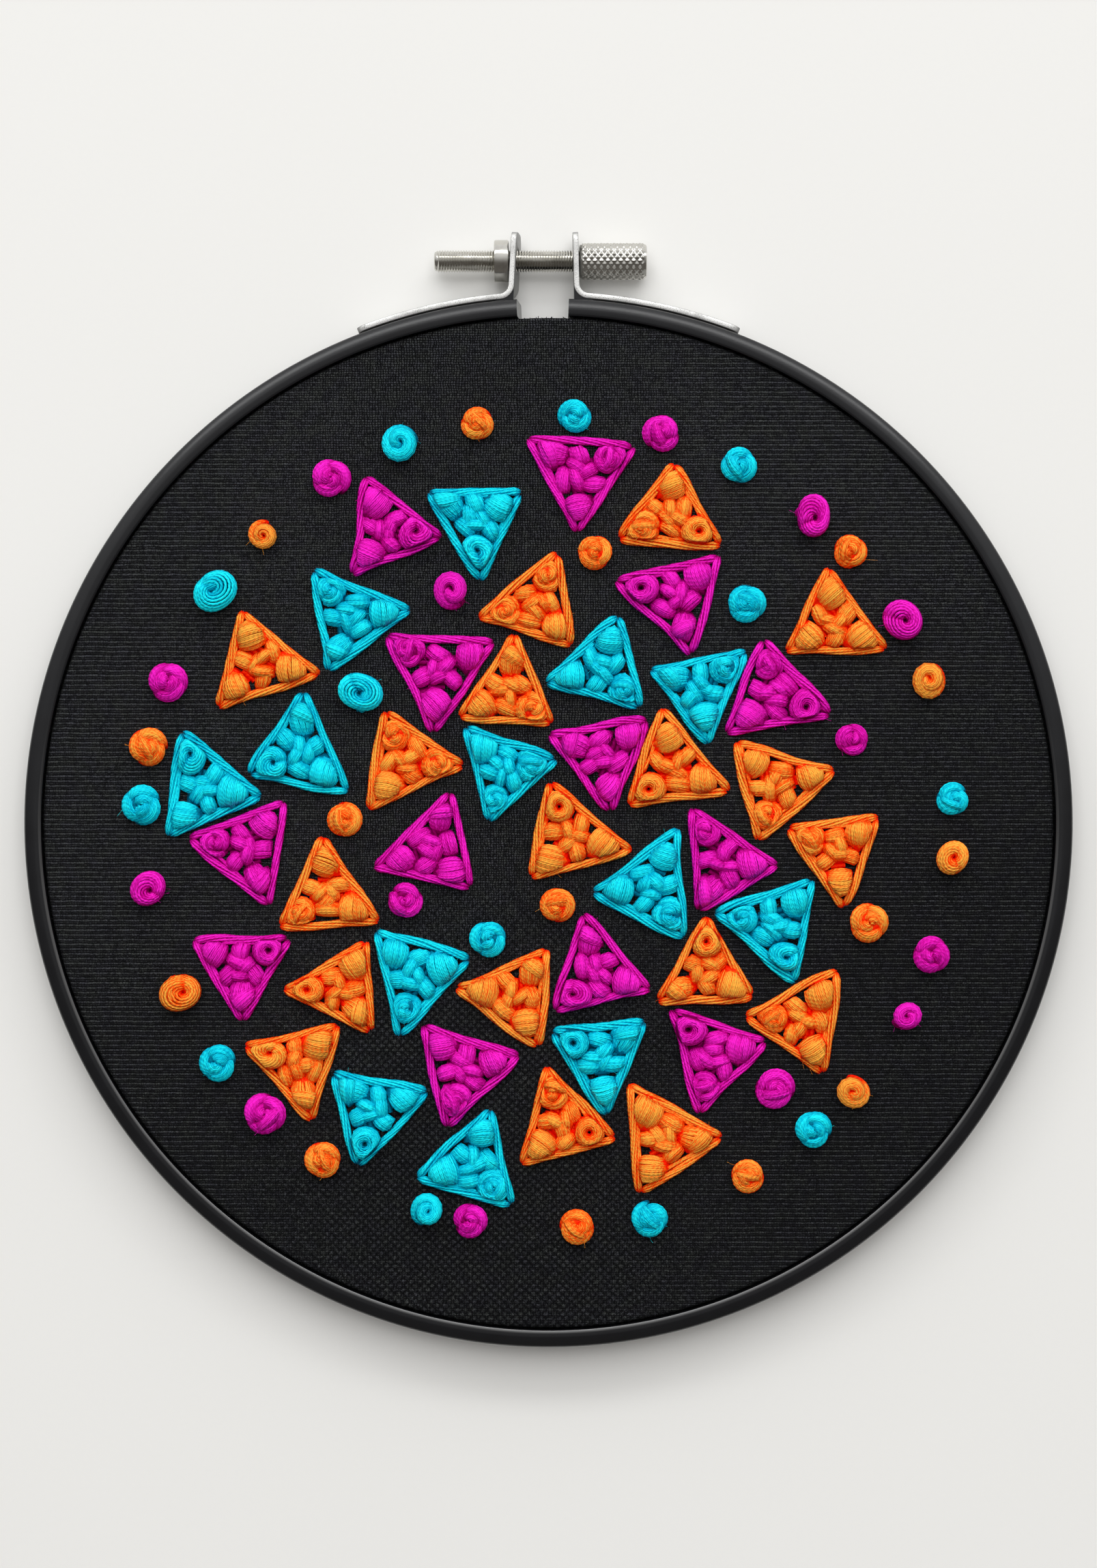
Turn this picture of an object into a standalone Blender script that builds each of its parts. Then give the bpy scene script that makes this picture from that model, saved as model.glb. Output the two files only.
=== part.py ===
"""Satin stitch embroidery in a screw hoop, lying face up.

A black cloth is stretched over an inner ring and gripped by a split outer
ring, whose ends a thumbscrew draws together. Triangles outlined and padded
with floss stand on the cloth, with round knots between and around them.

Metres, +Z up. The hoop lies in the XY plane with its back at z = 0 and its
screw towards +Y. The origin is under the middle of the object's box.
"""

import math
import random

import bmesh
import bpy
from mathutils import Vector, geometry

# Fit: what touches keeps this gap
FIT_GAP = 0.0003

# Outer ring
HOOP_RADIUS = 0.0940
HOOP_HEIGHT = 0.0100
RING_WALL = 0.0032
RING_CREST = 0.0917          # radius at which the front is highest
RING_SHOULDER = 0.0076       # height at which the outer wall rounds over
LIP_ROUND = 0.0005
BACK_CHAMFER = 0.0004
GAP_LEFT = 0.0057            # the split runs from here on the left
GAP_RIGHT = 0.0036           # to here on the right
SPLIT_SLANT = 0.0008         # the left end leans this much over the height
RING_BEARINGS = (0, 22, 44, 66, 90)
RING_STEPS = 72

# Cloth, drawn over the inner ring and down between the rings
CLOTH_THICKNESS = 0.0010
CLOTH_LEVEL = 0.0090
CLOTH_SHOULDER = 0.0008
CLOTH_TRIM = 0.0010          # height of its cut edge above the back
SHOULDER_BEARINGS = (30, 60, 90)

# Inner ring
INNER_WALL = 0.0035
INNER_CHAMFER = 0.0005

# Clamp: two bent strips on the outer ring's wall
LUG_THICKNESS = 0.0010
LUG_WIDTH = 0.0076
LUG_MIDDLE = 0.0044          # height of the strips' and the screw's middle
LUG_CORNER = 0.0020
LUG_BEND = 0.0022
LUG_CORNER_SHARES = (0, 0.12, 0.35, 0.65, 1)
LUG_ARM_END = math.radians(21.2)
LUG_BEND_STEPS = 8
LUG_ARM_STEPS = 8
LEFT_TAB_X = 0.00646
LEFT_TAB_LEAN = math.radians(2.9)
RIGHT_TAB_X = 0.00495
RIGHT_TAB_LEAN = math.radians(1.5)

# Screw, across the tabs
SCREW_REACH = 0.1012         # its axis, from the hoop's centre
TAB_RISE = 0.0050            # the tabs' tips, beyond the axis
ROD_RADIUS = 0.00201
ROD_END = -0.0206
ROD_CHAMFER = 0.0005
ROD_HOLE = 0.00235
KNOB_RADIUS = 0.00332
KNOB_START = 0.00585
KNOB_END = 0.0177
KNOB_CHAMFER = 0.0004
NUT_RADIUS = 0.00384
NUT_START = -0.00982
NUT_END = -0.00745
NUT_CHAMFER = 0.0003
ROUND_STEPS = 24

# Stitched motifs
TRIANGLE_COUNT = 44
INNER_KNOTS = 11
OUTER_KNOTS = 31
TRIANGLE_REACH = 0.0109      # centre to corner
KNOT_RADIUS = 0.0034
KNOT_RISE = 0.0034
OUTLINE_RISE = 0.0010
PADDING_RISE = 0.0030
KNOT_RINGS = ((0.6, 8), (0.9, 12), (1.0, 12))       # share of the radius, and points
MIDDLE_LOBE = (0.22, 0.80)   # a bundle's radius as a share of the reach, and its rise
CORNER_LOBE = (0.29, 1.00)
SIDE_LOBE = (0.24, 0.85)
CORNER_LOBE_PLACE = 0.52     # on the way from the middle to the corner
SIDE_LOBE_PLACE = 0.45       # on the way from the middle to the side
PAD_GRID = 9
CORNER_TRIM = 0.06           # how far a pad's blunt corners fall short

# How the motifs are scattered
SCATTER_SEED = 8
KNOT_EVERY = 5               # in the spiral, one motif in so many is a knot
KNOT_SIZES = (0.85, 1.14)
TRIANGLE_SIZES = (0.95, 1.04)
CORNER_REACHES = (0.95, 1.05)
CORNER_STRAY = 0.1           # how far a corner's bearing may be off, in radians
BELT_STRAY = (0.2, 0.8)      # where a knot of the belt may lie in its share of it
SPIRAL_RADIUS = 0.0640
KNOT_BELT = 0.0725
STITCHED_RADIUS = 0.0765
MOTIF_SPACING = 0.0014
SPIRAL_TURN = math.pi * (3 - math.sqrt(5))
SPREAD_STEPS = 200
SPREAD_ENOUGH = 0.00008      # crowding at which the spreading stops
SPREAD_PACE = 0.25           # share of an overlap that one step takes out
PUSH_LEVER = 0.6             # how hard a shove turns a triangle, against its size
INSCRIBED = 0.49             # a triangle's inner circle, against its reach
CORNER_DISCS = (0.5, 0.75, 0.92)

HOOP_CENTRE_Y = (HOOP_RADIUS - SCREW_REACH - TAB_RISE) / 2
RING_INSIDE = HOOP_RADIUS - RING_WALL
CLOTH_RADIUS = RING_INSIDE - FIT_GAP
INNER_RADIUS = CLOTH_RADIUS - CLOTH_THICKNESS - FIT_GAP

THREADS = {
    "orange": (0.95, 0.20, 0.012),
    "turquoise": (0.008, 0.50, 0.66),
    "magenta": (0.46, 0.006, 0.33),
}
TRIANGLE_SHARES = (18, 13, 13)
KNOT_SHARES = (15, 13, 14)


def finish(name, colour, roughness, metallic=0.0):
    """A plain material in the part's own colour."""
    material = bpy.data.materials.get(name) or bpy.data.materials.new(name)
    material.use_nodes = True
    shader = material.node_tree.nodes["Principled BSDF"]
    shader.inputs["Base Color"].default_value = (*colour, 1)
    shader.inputs["Roughness"].default_value = roughness
    shader.inputs["Metallic"].default_value = metallic
    return material


def black_plastic():
    return finish("hoop_plastic", (0.012, 0.012, 0.013), 0.38)


def bright_metal():
    return finish("clamp_metal", (0.62, 0.61, 0.58), 0.28, 1.0)


def floss(colour):
    return finish("floss_" + colour, THREADS[colour], 0.55)


def add_piece(name, shape, material, location=(0, 0, 0), turn=0.0):
    """Put a finished shape on the hoop, with its faces pointing out."""
    bmesh.ops.recalc_face_normals(shape, faces=shape.faces)
    mesh = bpy.data.meshes.new(name)
    shape.to_mesh(mesh)
    shape.free()
    mesh.materials.append(material)
    mesh.shade_smooth()
    mesh.set_sharp_from_angle(angle=math.radians(35))
    piece = bpy.data.objects.new(name, mesh)
    bpy.context.collection.objects.link(piece)
    piece.parent = bpy.data.objects["hoop_centre"]
    piece.location = location
    piece.rotation_euler.z = turn
    return piece


def skin(loops, closed):
    """Join equal loops of points in turn, back to the first or with end caps."""
    shape = bmesh.new()
    rows = [[shape.verts.new(point) for point in loop] for loop in loops]
    pairs = list(zip(rows, rows[1:]))
    if closed:
        pairs.append((rows[-1], rows[0]))
    else:
        shape.faces.new(rows[0])
        shape.faces.new(rows[-1])
    for row, following in pairs:
        for k in range(len(row)):
            after = (k + 1) % len(row)
            shape.faces.new((row[k], row[after], following[after], following[k]))
    return shape


def round_point(radius, angle, height):
    return Vector((radius * math.cos(angle), radius * math.sin(angle), height))


def outer_ring():
    """The split ring: a crest near the cloth, rounding over to the outer wall."""
    slope = HOOP_HEIGHT - RING_SHOULDER
    rounding = [(RING_CREST + (HOOP_RADIUS - RING_CREST) * math.sin(bearing),
                 RING_SHOULDER + slope * math.cos(bearing))
                for bearing in map(math.radians, RING_BEARINGS)]
    profile = [
        (RING_INSIDE, 0),
        (RING_INSIDE, HOOP_HEIGHT - LIP_ROUND),
        (RING_INSIDE + 0.3 * LIP_ROUND, HOOP_HEIGHT - 0.3 * LIP_ROUND),
        (RING_INSIDE + LIP_ROUND, HOOP_HEIGHT),
        *rounding,
        (HOOP_RADIUS, BACK_CHAMFER),
        (HOOP_RADIUS - BACK_CHAMFER, 0),
    ]
    middle = (RING_INSIDE + HOOP_RADIUS) / 2
    left = math.pi / 2 + GAP_LEFT / middle
    right = math.tau + math.pi / 2 - GAP_RIGHT / middle
    slant = SPLIT_SLANT / middle
    loops = []
    for step in range(RING_STEPS + 1):
        share = step / RING_STEPS
        loop = []
        for radius, height in profile:
            start = left - slant * (1 - height / HOOP_HEIGHT)
            loop.append(round_point(radius, start + share * (right - start), height))
        loops.append(loop)
    add_piece("outer_ring", skin(loops, closed=False), black_plastic())


def inner_ring():
    """The plain ring under the cloth."""
    top = CLOTH_LEVEL - CLOTH_THICKNESS - FIT_GAP
    inside = INNER_RADIUS - INNER_WALL
    profile = [
        (inside, 0),
        (inside, top - INNER_CHAMFER),
        (inside + INNER_CHAMFER, top),
        (INNER_RADIUS - INNER_CHAMFER, top),
        (INNER_RADIUS, top - INNER_CHAMFER),
        (INNER_RADIUS, 0),
    ]
    angles = [math.tau * step / RING_STEPS for step in range(RING_STEPS)]
    loops = [[round_point(radius, angle, height) for radius, height in profile]
             for angle in angles]
    add_piece("inner_ring", skin(loops, closed=True), black_plastic())


def new_motif(rng, x, y, is_knot):
    """A knot, or a triangle whose corners stray a little from an even one."""
    size = KNOT_RADIUS * rng.uniform(*KNOT_SIZES)
    corners = []
    if not is_knot:
        size = TRIANGLE_REACH * rng.uniform(*TRIANGLE_SIZES)
        for corner in range(3):
            bearing = math.tau * corner / 3 + rng.uniform(-CORNER_STRAY, CORNER_STRAY)
            corners.append((bearing, size * rng.uniform(*CORNER_REACHES)))
    turn = rng.uniform(0, math.tau)
    return {"x": x, "y": y, "turn": turn, "size": size, "corners": corners}


def motif_discs(motif):
    """Discs that fill a motif's outline, each as x, y and radius."""
    if not motif["corners"]:
        return [(motif["x"], motif["y"], motif["size"])]
    discs = [(motif["x"], motif["y"], INSCRIBED * motif["size"])]
    for bearing, reach in motif["corners"]:
        for along in CORNER_DISCS:
            x = motif["x"] + along * reach * math.cos(motif["turn"] + bearing)
            y = motif["y"] + along * reach * math.sin(motif["turn"] + bearing)
            discs.append((x, y, 0.5 * (1 - along) * motif["size"]))
    return discs


def push(motif, disc, dx, dy):
    """Note a shove at one disc, which moves the motif and turns it."""
    lever = (PUSH_LEVER * motif["size"]) ** 2
    motif["shift"][0] += dx
    motif["shift"][1] += dy
    arm_x, arm_y = disc[0] - motif["x"], disc[1] - motif["y"]
    motif["shift"][2] += (arm_x * dy - arm_y * dx) / lever


def spread_once(motifs):
    """Move crowded motifs a step apart, inside the stitched field; say how crowded they were."""
    crowding = 0.0
    for motif in motifs:
        motif["shift"] = [0.0, 0.0, 0.0]
        motif["discs"] = motif_discs(motif)
    for index, first in enumerate(motifs):
        for second in motifs[:index]:
            centres = math.hypot(first["x"] - second["x"], first["y"] - second["y"])
            if centres > first["size"] + second["size"] + 2 * MOTIF_SPACING:
                continue
            for one in first["discs"]:
                for other in second["discs"]:
                    dx, dy = one[0] - other[0], one[1] - other[1]
                    apart = math.hypot(dx, dy)
                    missing = max(0.0, one[2] + other[2] + MOTIF_SPACING - apart)
                    crowding = max(crowding, missing)
                    share = SPREAD_PACE * missing / apart
                    push(first, one, dx * share, dy * share)
                    push(second, other, -dx * share, -dy * share)
        for disc in first["discs"]:
            out = math.hypot(disc[0], disc[1])
            share = 2 * SPREAD_PACE * max(0, out + disc[2] - STITCHED_RADIUS) / out
            push(first, disc, -disc[0] * share, -disc[1] * share)
    for motif in motifs:
        motif["x"] += motif["shift"][0]
        motif["y"] += motif["shift"][1]
        if motif["corners"]:
            motif["turn"] += motif["shift"][2]
    return crowding


def colour_motifs(motifs, shares):
    """Give each motif the colour that is rarest around it."""
    left = dict(zip(THREADS, shares))
    for motif in motifs:
        motif["place"] = (motif["x"], motif["y"])

        def crowding(colour):
            if not left[colour]:
                return math.inf
            near = sum(math.exp(-math.dist(motif["place"], other["place"]) / TRIANGLE_REACH)
                       for other in motifs if other.get("colour") == colour)
            return near / left[colour]
        motif["colour"] = min(THREADS, key=crowding)
        left[motif["colour"]] -= 1


def scatter_motifs():
    """A sunflower spiral of triangles and knots in a belt of knots, spread evenly."""
    rng = random.Random(SCATTER_SEED)
    motifs = []
    inner = TRIANGLE_COUNT + INNER_KNOTS
    for index in range(inner):
        radius = SPIRAL_RADIUS * math.sqrt((index + 0.5) / inner)
        place = round_point(radius, index * SPIRAL_TURN, 0)
        motifs.append(new_motif(rng, place.x, place.y, index % KNOT_EVERY == 2))
    for index in range(OUTER_KNOTS):
        angle = math.tau * (index + rng.uniform(*BELT_STRAY)) / OUTER_KNOTS
        place = round_point(KNOT_BELT, angle, 0)
        motifs.append(new_motif(rng, place.x, place.y, True))
    for step in range(SPREAD_STEPS):
        if spread_once(motifs) < SPREAD_ENOUGH:
            break
    triangles = [motif for motif in motifs if motif["corners"]]
    knots = [motif for motif in motifs if not motif["corners"]]
    colour_motifs(triangles, TRIANGLE_SHARES)
    colour_motifs(knots, KNOT_SHARES)
    return triangles, knots


def knot_points(knot):
    """Rings of points that a knot's dome needs in the cloth's face."""
    rings = [[(knot["x"], knot["y"])]]
    for share, count in KNOT_RINGS:
        rings.append([(knot["x"] + share * knot["size"] * math.cos(math.tau * k / count),
                       knot["y"] + share * knot["size"] * math.sin(math.tau * k / count))
                      for k in range(count)])
    return rings


def knot_height(x, y, knots):
    """How far the knot that covers a point stands out of the cloth."""
    for knot in knots:
        share = math.hypot(x - knot["x"], y - knot["y"]) / knot["size"]
        if share < 0.999:
            return KNOT_RISE * knot["size"] / KNOT_RADIUS * math.sqrt(1 - share ** 2)
    return 0.0


def ground_cloth(knots):
    """The stretched cloth, its knots raised in the face, and its margin turned down."""
    angles = [math.tau * step / RING_STEPS for step in range(RING_STEPS)]
    rim = CLOTH_RADIUS - CLOTH_SHOULDER
    points = [round_point(rim, angle, 0).to_2d() for angle in angles]
    edges = [(k, (k + 1) % RING_STEPS) for k in range(RING_STEPS)]
    for knot in knots:
        for ring in knot_points(knot):
            first = len(points)
            points += [Vector(point) for point in ring]
            if len(ring) > 1:
                edges += [(first + k, first + (k + 1) % len(ring)) for k in range(len(ring))]
    flat, _, faces, *_ = geometry.delaunay_2d_cdt(points, edges, [], 0, 1e-7)

    shape = bmesh.new()
    face_verts = [shape.verts.new((x, y, CLOTH_LEVEL + knot_height(x, y, knots)))
                  for x, y in flat]
    for face in faces:
        shape.faces.new([face_verts[k] for k in face])
    row = [min(face_verts, key=lambda vert: (vert.co.xy - point).length)
           for point in points[:RING_STEPS]]

    inside = CLOTH_RADIUS - CLOTH_THICKNESS
    turned = [math.radians(step) for step in SHOULDER_BEARINGS]
    margin = [(rim + CLOTH_SHOULDER * math.sin(bearing),
               CLOTH_LEVEL - CLOTH_SHOULDER * (1 - math.cos(bearing))) for bearing in turned]
    margin += [
        (CLOTH_RADIUS, CLOTH_TRIM),
        (inside, CLOTH_TRIM),
        (inside, CLOTH_LEVEL - CLOTH_THICKNESS),
    ]
    for radius, height in margin:
        following = [shape.verts.new(round_point(radius, angle, height)) for angle in angles]
        for k in range(RING_STEPS):
            after = (k + 1) % RING_STEPS
            shape.faces.new((row[k], row[after], following[after], following[k]))
        row = following
    shape.faces.new(row)
    add_piece("ground_cloth", shape, finish("ground_cloth", (0.012, 0.012, 0.013), 0.9))


def padding_lobes(corners):
    """Rounded bundles of floss inside a triangle: centre, radius and height."""
    middle = sum(corners, Vector((0, 0))) / 3
    places = [(middle, MIDDLE_LOBE)]
    for k, corner in enumerate(corners):
        side = (corner + corners[(k + 1) % 3]) / 2
        places.append((middle.lerp(corner, CORNER_LOBE_PLACE), CORNER_LOBE))
        places.append((middle.lerp(side, SIDE_LOBE_PLACE), SIDE_LOBE))
    return [(place, width * TRIANGLE_REACH, rise * PADDING_RISE)
            for place, (width, rise) in places]


def pad_height(point, lobes):
    heights = [OUTLINE_RISE]
    for centre, radius, rise in lobes:
        share = (point - centre).length / radius
        heights.append(rise * math.sqrt(max(0, 1 - share ** 2)))
    return max(heights)


def triangle_pad(name, motif):
    """One triangle: a low outline of floss around seven raised bundles."""
    corners = [round_point(reach, bearing, 0).to_2d() for bearing, reach in motif["corners"]]
    middle = sum(corners, Vector((0, 0))) / 3
    lobes = padding_lobes(corners)
    shape = bmesh.new()
    grid = {}
    for i in range(PAD_GRID + 1):
        for j in range(PAD_GRID + 1 - i):
            k = PAD_GRID - i - j
            point = (i * corners[0] + j * corners[1] + k * corners[2]) / PAD_GRID
            if PAD_GRID in (i, j, k):
                point = point.lerp(middle, CORNER_TRIM)
            rise = OUTLINE_RISE if 0 in (i, j, k) else pad_height(point, lobes)
            grid[i, j] = shape.verts.new((point.x, point.y, rise))
    for i in range(PAD_GRID):
        for j in range(PAD_GRID - i):
            shape.faces.new((grid[i, j], grid[i + 1, j], grid[i, j + 1]))
            if i + j < PAD_GRID - 1:
                shape.faces.new((grid[i + 1, j], grid[i + 1, j + 1], grid[i, j + 1]))
    border = [grid[0, j] for j in range(PAD_GRID)]
    border += [grid[i, PAD_GRID - i] for i in range(PAD_GRID)]
    border += [grid[PAD_GRID - i, 0] for i in range(PAD_GRID)]
    base = [shape.verts.new((vert.co.x, vert.co.y, 0)) for vert in border]
    for k in range(len(border)):
        after = (k + 1) % len(border)
        shape.faces.new((border[k], border[after], base[after], base[k]))
    shape.faces.new(base)
    place = (motif["x"], motif["y"], CLOTH_LEVEL + FIT_GAP)
    add_piece(name, shape, floss(motif["colour"]), place, motif["turn"])


def lug_path(tab_x, lean):
    """A strip's middle line from its tab's tip to its arm's end, on the +X side.

    Each station is a point, the strip's direction there, the distance to the
    nearer end, and how far the station belongs to the tab, from 0 to 1.
    """
    up = Vector((-math.sin(lean), math.cos(lean)))
    out = Vector((math.cos(lean), math.sin(lean)))
    strip_radius = HOOP_RADIUS + FIT_GAP + LUG_THICKNESS / 2
    beside = Vector((tab_x, SCREW_REACH)) + out * LUG_BEND
    reach = strip_radius + LUG_BEND
    middle = beside.dot(up)
    drop = -middle + math.sqrt(middle ** 2 - beside.length_squared + reach ** 2)
    bend = beside + up * drop
    tab_length = TAB_RISE / math.cos(lean) - drop
    tip = bend - out * LUG_BEND + up * tab_length
    rounding = [share * LUG_CORNER for share in LUG_CORNER_SHARES]

    stations = [(tip - up * step, -up, step, 1) for step in rounding]
    first = math.pi + lean
    last = math.pi + math.atan2(bend.y, bend.x)
    for step in range(LUG_BEND_STEPS + 1):
        share = step / LUG_BEND_STEPS
        angle = first + share * (last - first)
        point = bend + LUG_BEND * Vector((math.cos(angle), math.sin(angle)))
        along = Vector((-math.sin(angle), math.cos(angle)))
        stations.append((point, along, LUG_CORNER, 1 - share))
    start = math.atan2(bend.y, bend.x)
    arm_end = math.pi / 2 - LUG_ARM_END
    flat_end = arm_end + LUG_CORNER / strip_radius
    angles = [start + (flat_end - start) * step / LUG_ARM_STEPS
              for step in range(1, LUG_ARM_STEPS + 1)]
    angles += [arm_end + step / strip_radius for step in reversed(rounding[:-1])]
    for angle in angles:
        point = strip_radius * Vector((math.cos(angle), math.sin(angle)))
        along = Vector((math.sin(angle), -math.cos(angle)))
        stations.append((point, along, (angle - arm_end) * strip_radius, 0))
    return stations


def lug(name, side, tab_x, lean, slant):
    """A bent strip: a drilled tab beside the split, and an arm along the ring."""
    loops = []
    for point, along, to_end, on_tab in lug_path(tab_x, lean):
        cut = max(0, LUG_CORNER - to_end)
        half = LUG_WIDTH / 2 - LUG_CORNER + math.sqrt(max(0, LUG_CORNER ** 2 - cut ** 2))
        across = Vector((along.y, -along.x)) * LUG_THICKNESS / 2
        loop = []
        for sign, height in ((-1, -half), (1, -half), (1, half), (-1, half)):
            spot = point + sign * across
            shifted = spot.x - on_tab * slant * (0.5 - height / LUG_WIDTH)
            loop.append((side * shifted, spot.y, LUG_MIDDLE + height))
        loops.append(loop)
    piece = add_piece(name, skin(loops, closed=False), bright_metal())
    drill = piece.modifiers.new("rod hole", "BOOLEAN")
    drill.operation = "DIFFERENCE"
    drill.solver = "EXACT"
    drill.object = bpy.data.objects["rod_hole"]


def turned_loops(profile):
    """Circles about the screw's axis, from pairs of x and radius."""
    angles = [math.tau * step / ROUND_STEPS for step in range(ROUND_STEPS)]
    return [[(x, radius * math.cos(angle), radius * math.sin(angle)) for angle in angles]
            for x, radius in profile]


def rod_hole():
    """The drill that opens both tabs."""
    loops = turned_loops([(-2 * LEFT_TAB_X, ROD_HOLE), (2 * RIGHT_TAB_X, ROD_HOLE)])
    drill = add_piece("rod_hole", skin(loops, closed=False), bright_metal(),
                      (0, SCREW_REACH, LUG_MIDDLE))
    drill.hide_render = True
    drill.display_type = "WIRE"


def thumbscrew():
    """The rod and its grip in one, turning about their own axis."""
    profile = [
        (ROD_END, ROD_RADIUS - ROD_CHAMFER),
        (ROD_END + ROD_CHAMFER, ROD_RADIUS),
        (KNOB_START, ROD_RADIUS),
        (KNOB_START, KNOB_RADIUS - KNOB_CHAMFER),
        (KNOB_START + KNOB_CHAMFER, KNOB_RADIUS),
        (KNOB_END - KNOB_CHAMFER, KNOB_RADIUS),
        (KNOB_END, KNOB_RADIUS - KNOB_CHAMFER),
    ]
    add_piece("thumbscrew", skin(turned_loops(profile), closed=False), bright_metal(),
              (0, SCREW_REACH, LUG_MIDDLE))


def collar_nut():
    """The round nut outside the left tab, with a clear bore for the rod."""
    bore = ROD_RADIUS + FIT_GAP
    profile = [
        (NUT_START, bore),
        (NUT_START, NUT_RADIUS - NUT_CHAMFER),
        (NUT_START + NUT_CHAMFER, NUT_RADIUS),
        (NUT_END - NUT_CHAMFER, NUT_RADIUS),
        (NUT_END, NUT_RADIUS - NUT_CHAMFER),
        (NUT_END, bore),
    ]
    add_piece("collar_nut", skin(turned_loops(profile), closed=True), bright_metal(),
              (0, SCREW_REACH, LUG_MIDDLE))


def build():
    for leftover in list(bpy.data.objects):
        bpy.data.objects.remove(leftover, do_unlink=True)
    centre = bpy.data.objects.new("hoop_centre", None)
    centre.location.y = HOOP_CENTRE_Y
    bpy.context.collection.objects.link(centre)

    outer_ring()
    inner_ring()
    rod_hole()
    lug("lug_left", -1, LEFT_TAB_X, LEFT_TAB_LEAN, SPLIT_SLANT)
    lug("lug_right", 1, RIGHT_TAB_X, RIGHT_TAB_LEAN, 0)
    collar_nut()
    thumbscrew()
    triangles, knots = scatter_motifs()
    ground_cloth(knots)
    for number, motif in enumerate(triangles, start=1):
        triangle_pad(f"triangle_{number:02d}", motif)


build()
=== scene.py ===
# %% [markdown]
# # Satin stitch embroidery in a screw hoop
#
# A black cloth is stretched drum-tight in a plastic hoop, and triangles padded with
# cotton floss stand on it, with round knots between and around them. This lesson
# dresses the imported solids of that hoop. The solids hold the sizes and the places.
# The lesson adds what is too small for them: every thread of floss, the weave, the
# screw's thread and its knurled grip.
#
# The solids are loaded first, because each piece is measured against them.

# %% Load the imported solids
import math
import random

import bmesh
import bpy
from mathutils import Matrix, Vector, noise


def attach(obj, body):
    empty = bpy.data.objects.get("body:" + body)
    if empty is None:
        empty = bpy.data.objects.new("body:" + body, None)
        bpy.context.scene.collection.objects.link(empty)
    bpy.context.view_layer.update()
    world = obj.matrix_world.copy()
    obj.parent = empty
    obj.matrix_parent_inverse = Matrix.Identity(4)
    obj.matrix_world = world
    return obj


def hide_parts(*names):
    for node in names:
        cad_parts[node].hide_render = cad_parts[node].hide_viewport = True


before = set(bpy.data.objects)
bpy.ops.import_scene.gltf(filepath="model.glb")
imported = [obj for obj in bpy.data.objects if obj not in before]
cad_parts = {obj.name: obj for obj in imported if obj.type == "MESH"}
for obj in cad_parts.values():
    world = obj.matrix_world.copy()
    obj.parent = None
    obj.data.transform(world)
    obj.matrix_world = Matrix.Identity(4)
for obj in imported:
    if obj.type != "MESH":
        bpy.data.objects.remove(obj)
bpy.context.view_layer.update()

# %% [markdown]
# ## Sizes
#
# All sizes are in metres. They are the ones that the solids were made with, so a
# finer ring or strip falls exactly on its solid. The hoop's centre is a little
# below the origin, because the screw is part of the object's box.

# %% Sizes of the hoop, the clamp and the cloth
MM = 0.001
FIT_GAP = 0.0003
HOOP_RADIUS = 0.0940
HOOP_HEIGHT = 0.0100
RING_WALL = 0.0032
BACK_CHAMFER = 0.0004
GAP_LEFT = 0.0057
GAP_RIGHT = 0.0036
SPLIT_SLANT = 0.0008
CLOTH_THICKNESS = 0.0010
CLOTH_LEVEL = 0.0090
CLOTH_SHOULDER = 0.0008
CLOTH_TRIM = 0.0010
INNER_WALL = 0.0035
LUG_THICKNESS = 0.0010
LUG_WIDTH = 0.0076
LUG_MIDDLE = 0.0044
LUG_CORNER = 0.0020
LUG_BEND = 0.0022
LUG_ARM_END = math.radians(21.2)
LEFT_TAB_X = 0.00646
LEFT_TAB_LEAN = math.radians(2.9)
RIGHT_TAB_X = 0.00495
RIGHT_TAB_LEAN = math.radians(1.5)
SCREW_REACH = 0.1012
TAB_RISE = 0.0050
ROD_RADIUS = 0.00201
ROD_END = -0.0206
ROD_HOLE = 0.00235
KNOB_RADIUS = 0.00332
KNOB_START = 0.00557
KNOB_END = 0.0177
NUT_RADIUS = 0.00384
NUT_START = -0.00982
NUT_END = -0.00718
NUT_CHAMFER = 0.0003

HOOP_CENTRE_Y = (HOOP_RADIUS - SCREW_REACH - TAB_RISE) / 2
RING_INSIDE = HOOP_RADIUS - RING_WALL
CLOTH_RADIUS = RING_INSIDE - FIT_GAP
INNER_RADIUS = CLOTH_RADIUS - CLOTH_THICKNESS - FIT_GAP
CENTRE = Vector((0, HOOP_CENTRE_Y, 0))
SCREW_AXIS = Vector((0, HOOP_CENTRE_Y + SCREW_REACH, LUG_MIDDLE))
print(f"hoop {2000 * HOOP_RADIUS:.0f} mm across, its centre at y = {1000 * HOOP_CENTRE_Y:.1f} mm")

# %% [markdown]
# ## Camera, floor and light
#
# The photograph looks straight down, so the camera stands over the middle of its
# picture. The lens is worked out from how much of the table the picture covers at
# the height of the work. A short distance would show the outside of the ring, and
# the photograph doesn't, so the camera stands more than half a metre away.

# %% Camera
VIEW_HEIGHT = 0.2805         # what the picture covers, from top to bottom
VIEW_CENTRE = Vector((0, 0.00085, 0.0095))
CAMERA_REACH = 0.62
SENSOR = 24.0
NEAREST_SEEN = 0.01



def put(name, data):
    """A new object in the scene."""
    thing = bpy.data.objects.new(name, data)
    bpy.context.scene.collection.objects.link(thing)
    return thing


camera = put("camera", bpy.data.cameras.new("camera"))
camera.data.sensor_fit = "VERTICAL"
camera.data.sensor_height = SENSOR
camera.data.lens = SENSOR * CAMERA_REACH / VIEW_HEIGHT
camera.data.clip_start = NEAREST_SEEN
camera.location = VIEW_CENTRE + Vector((0, 0, CAMERA_REACH))
bpy.context.scene.camera = camera
print(f"lens {camera.data.lens:.0f} mm")
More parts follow.
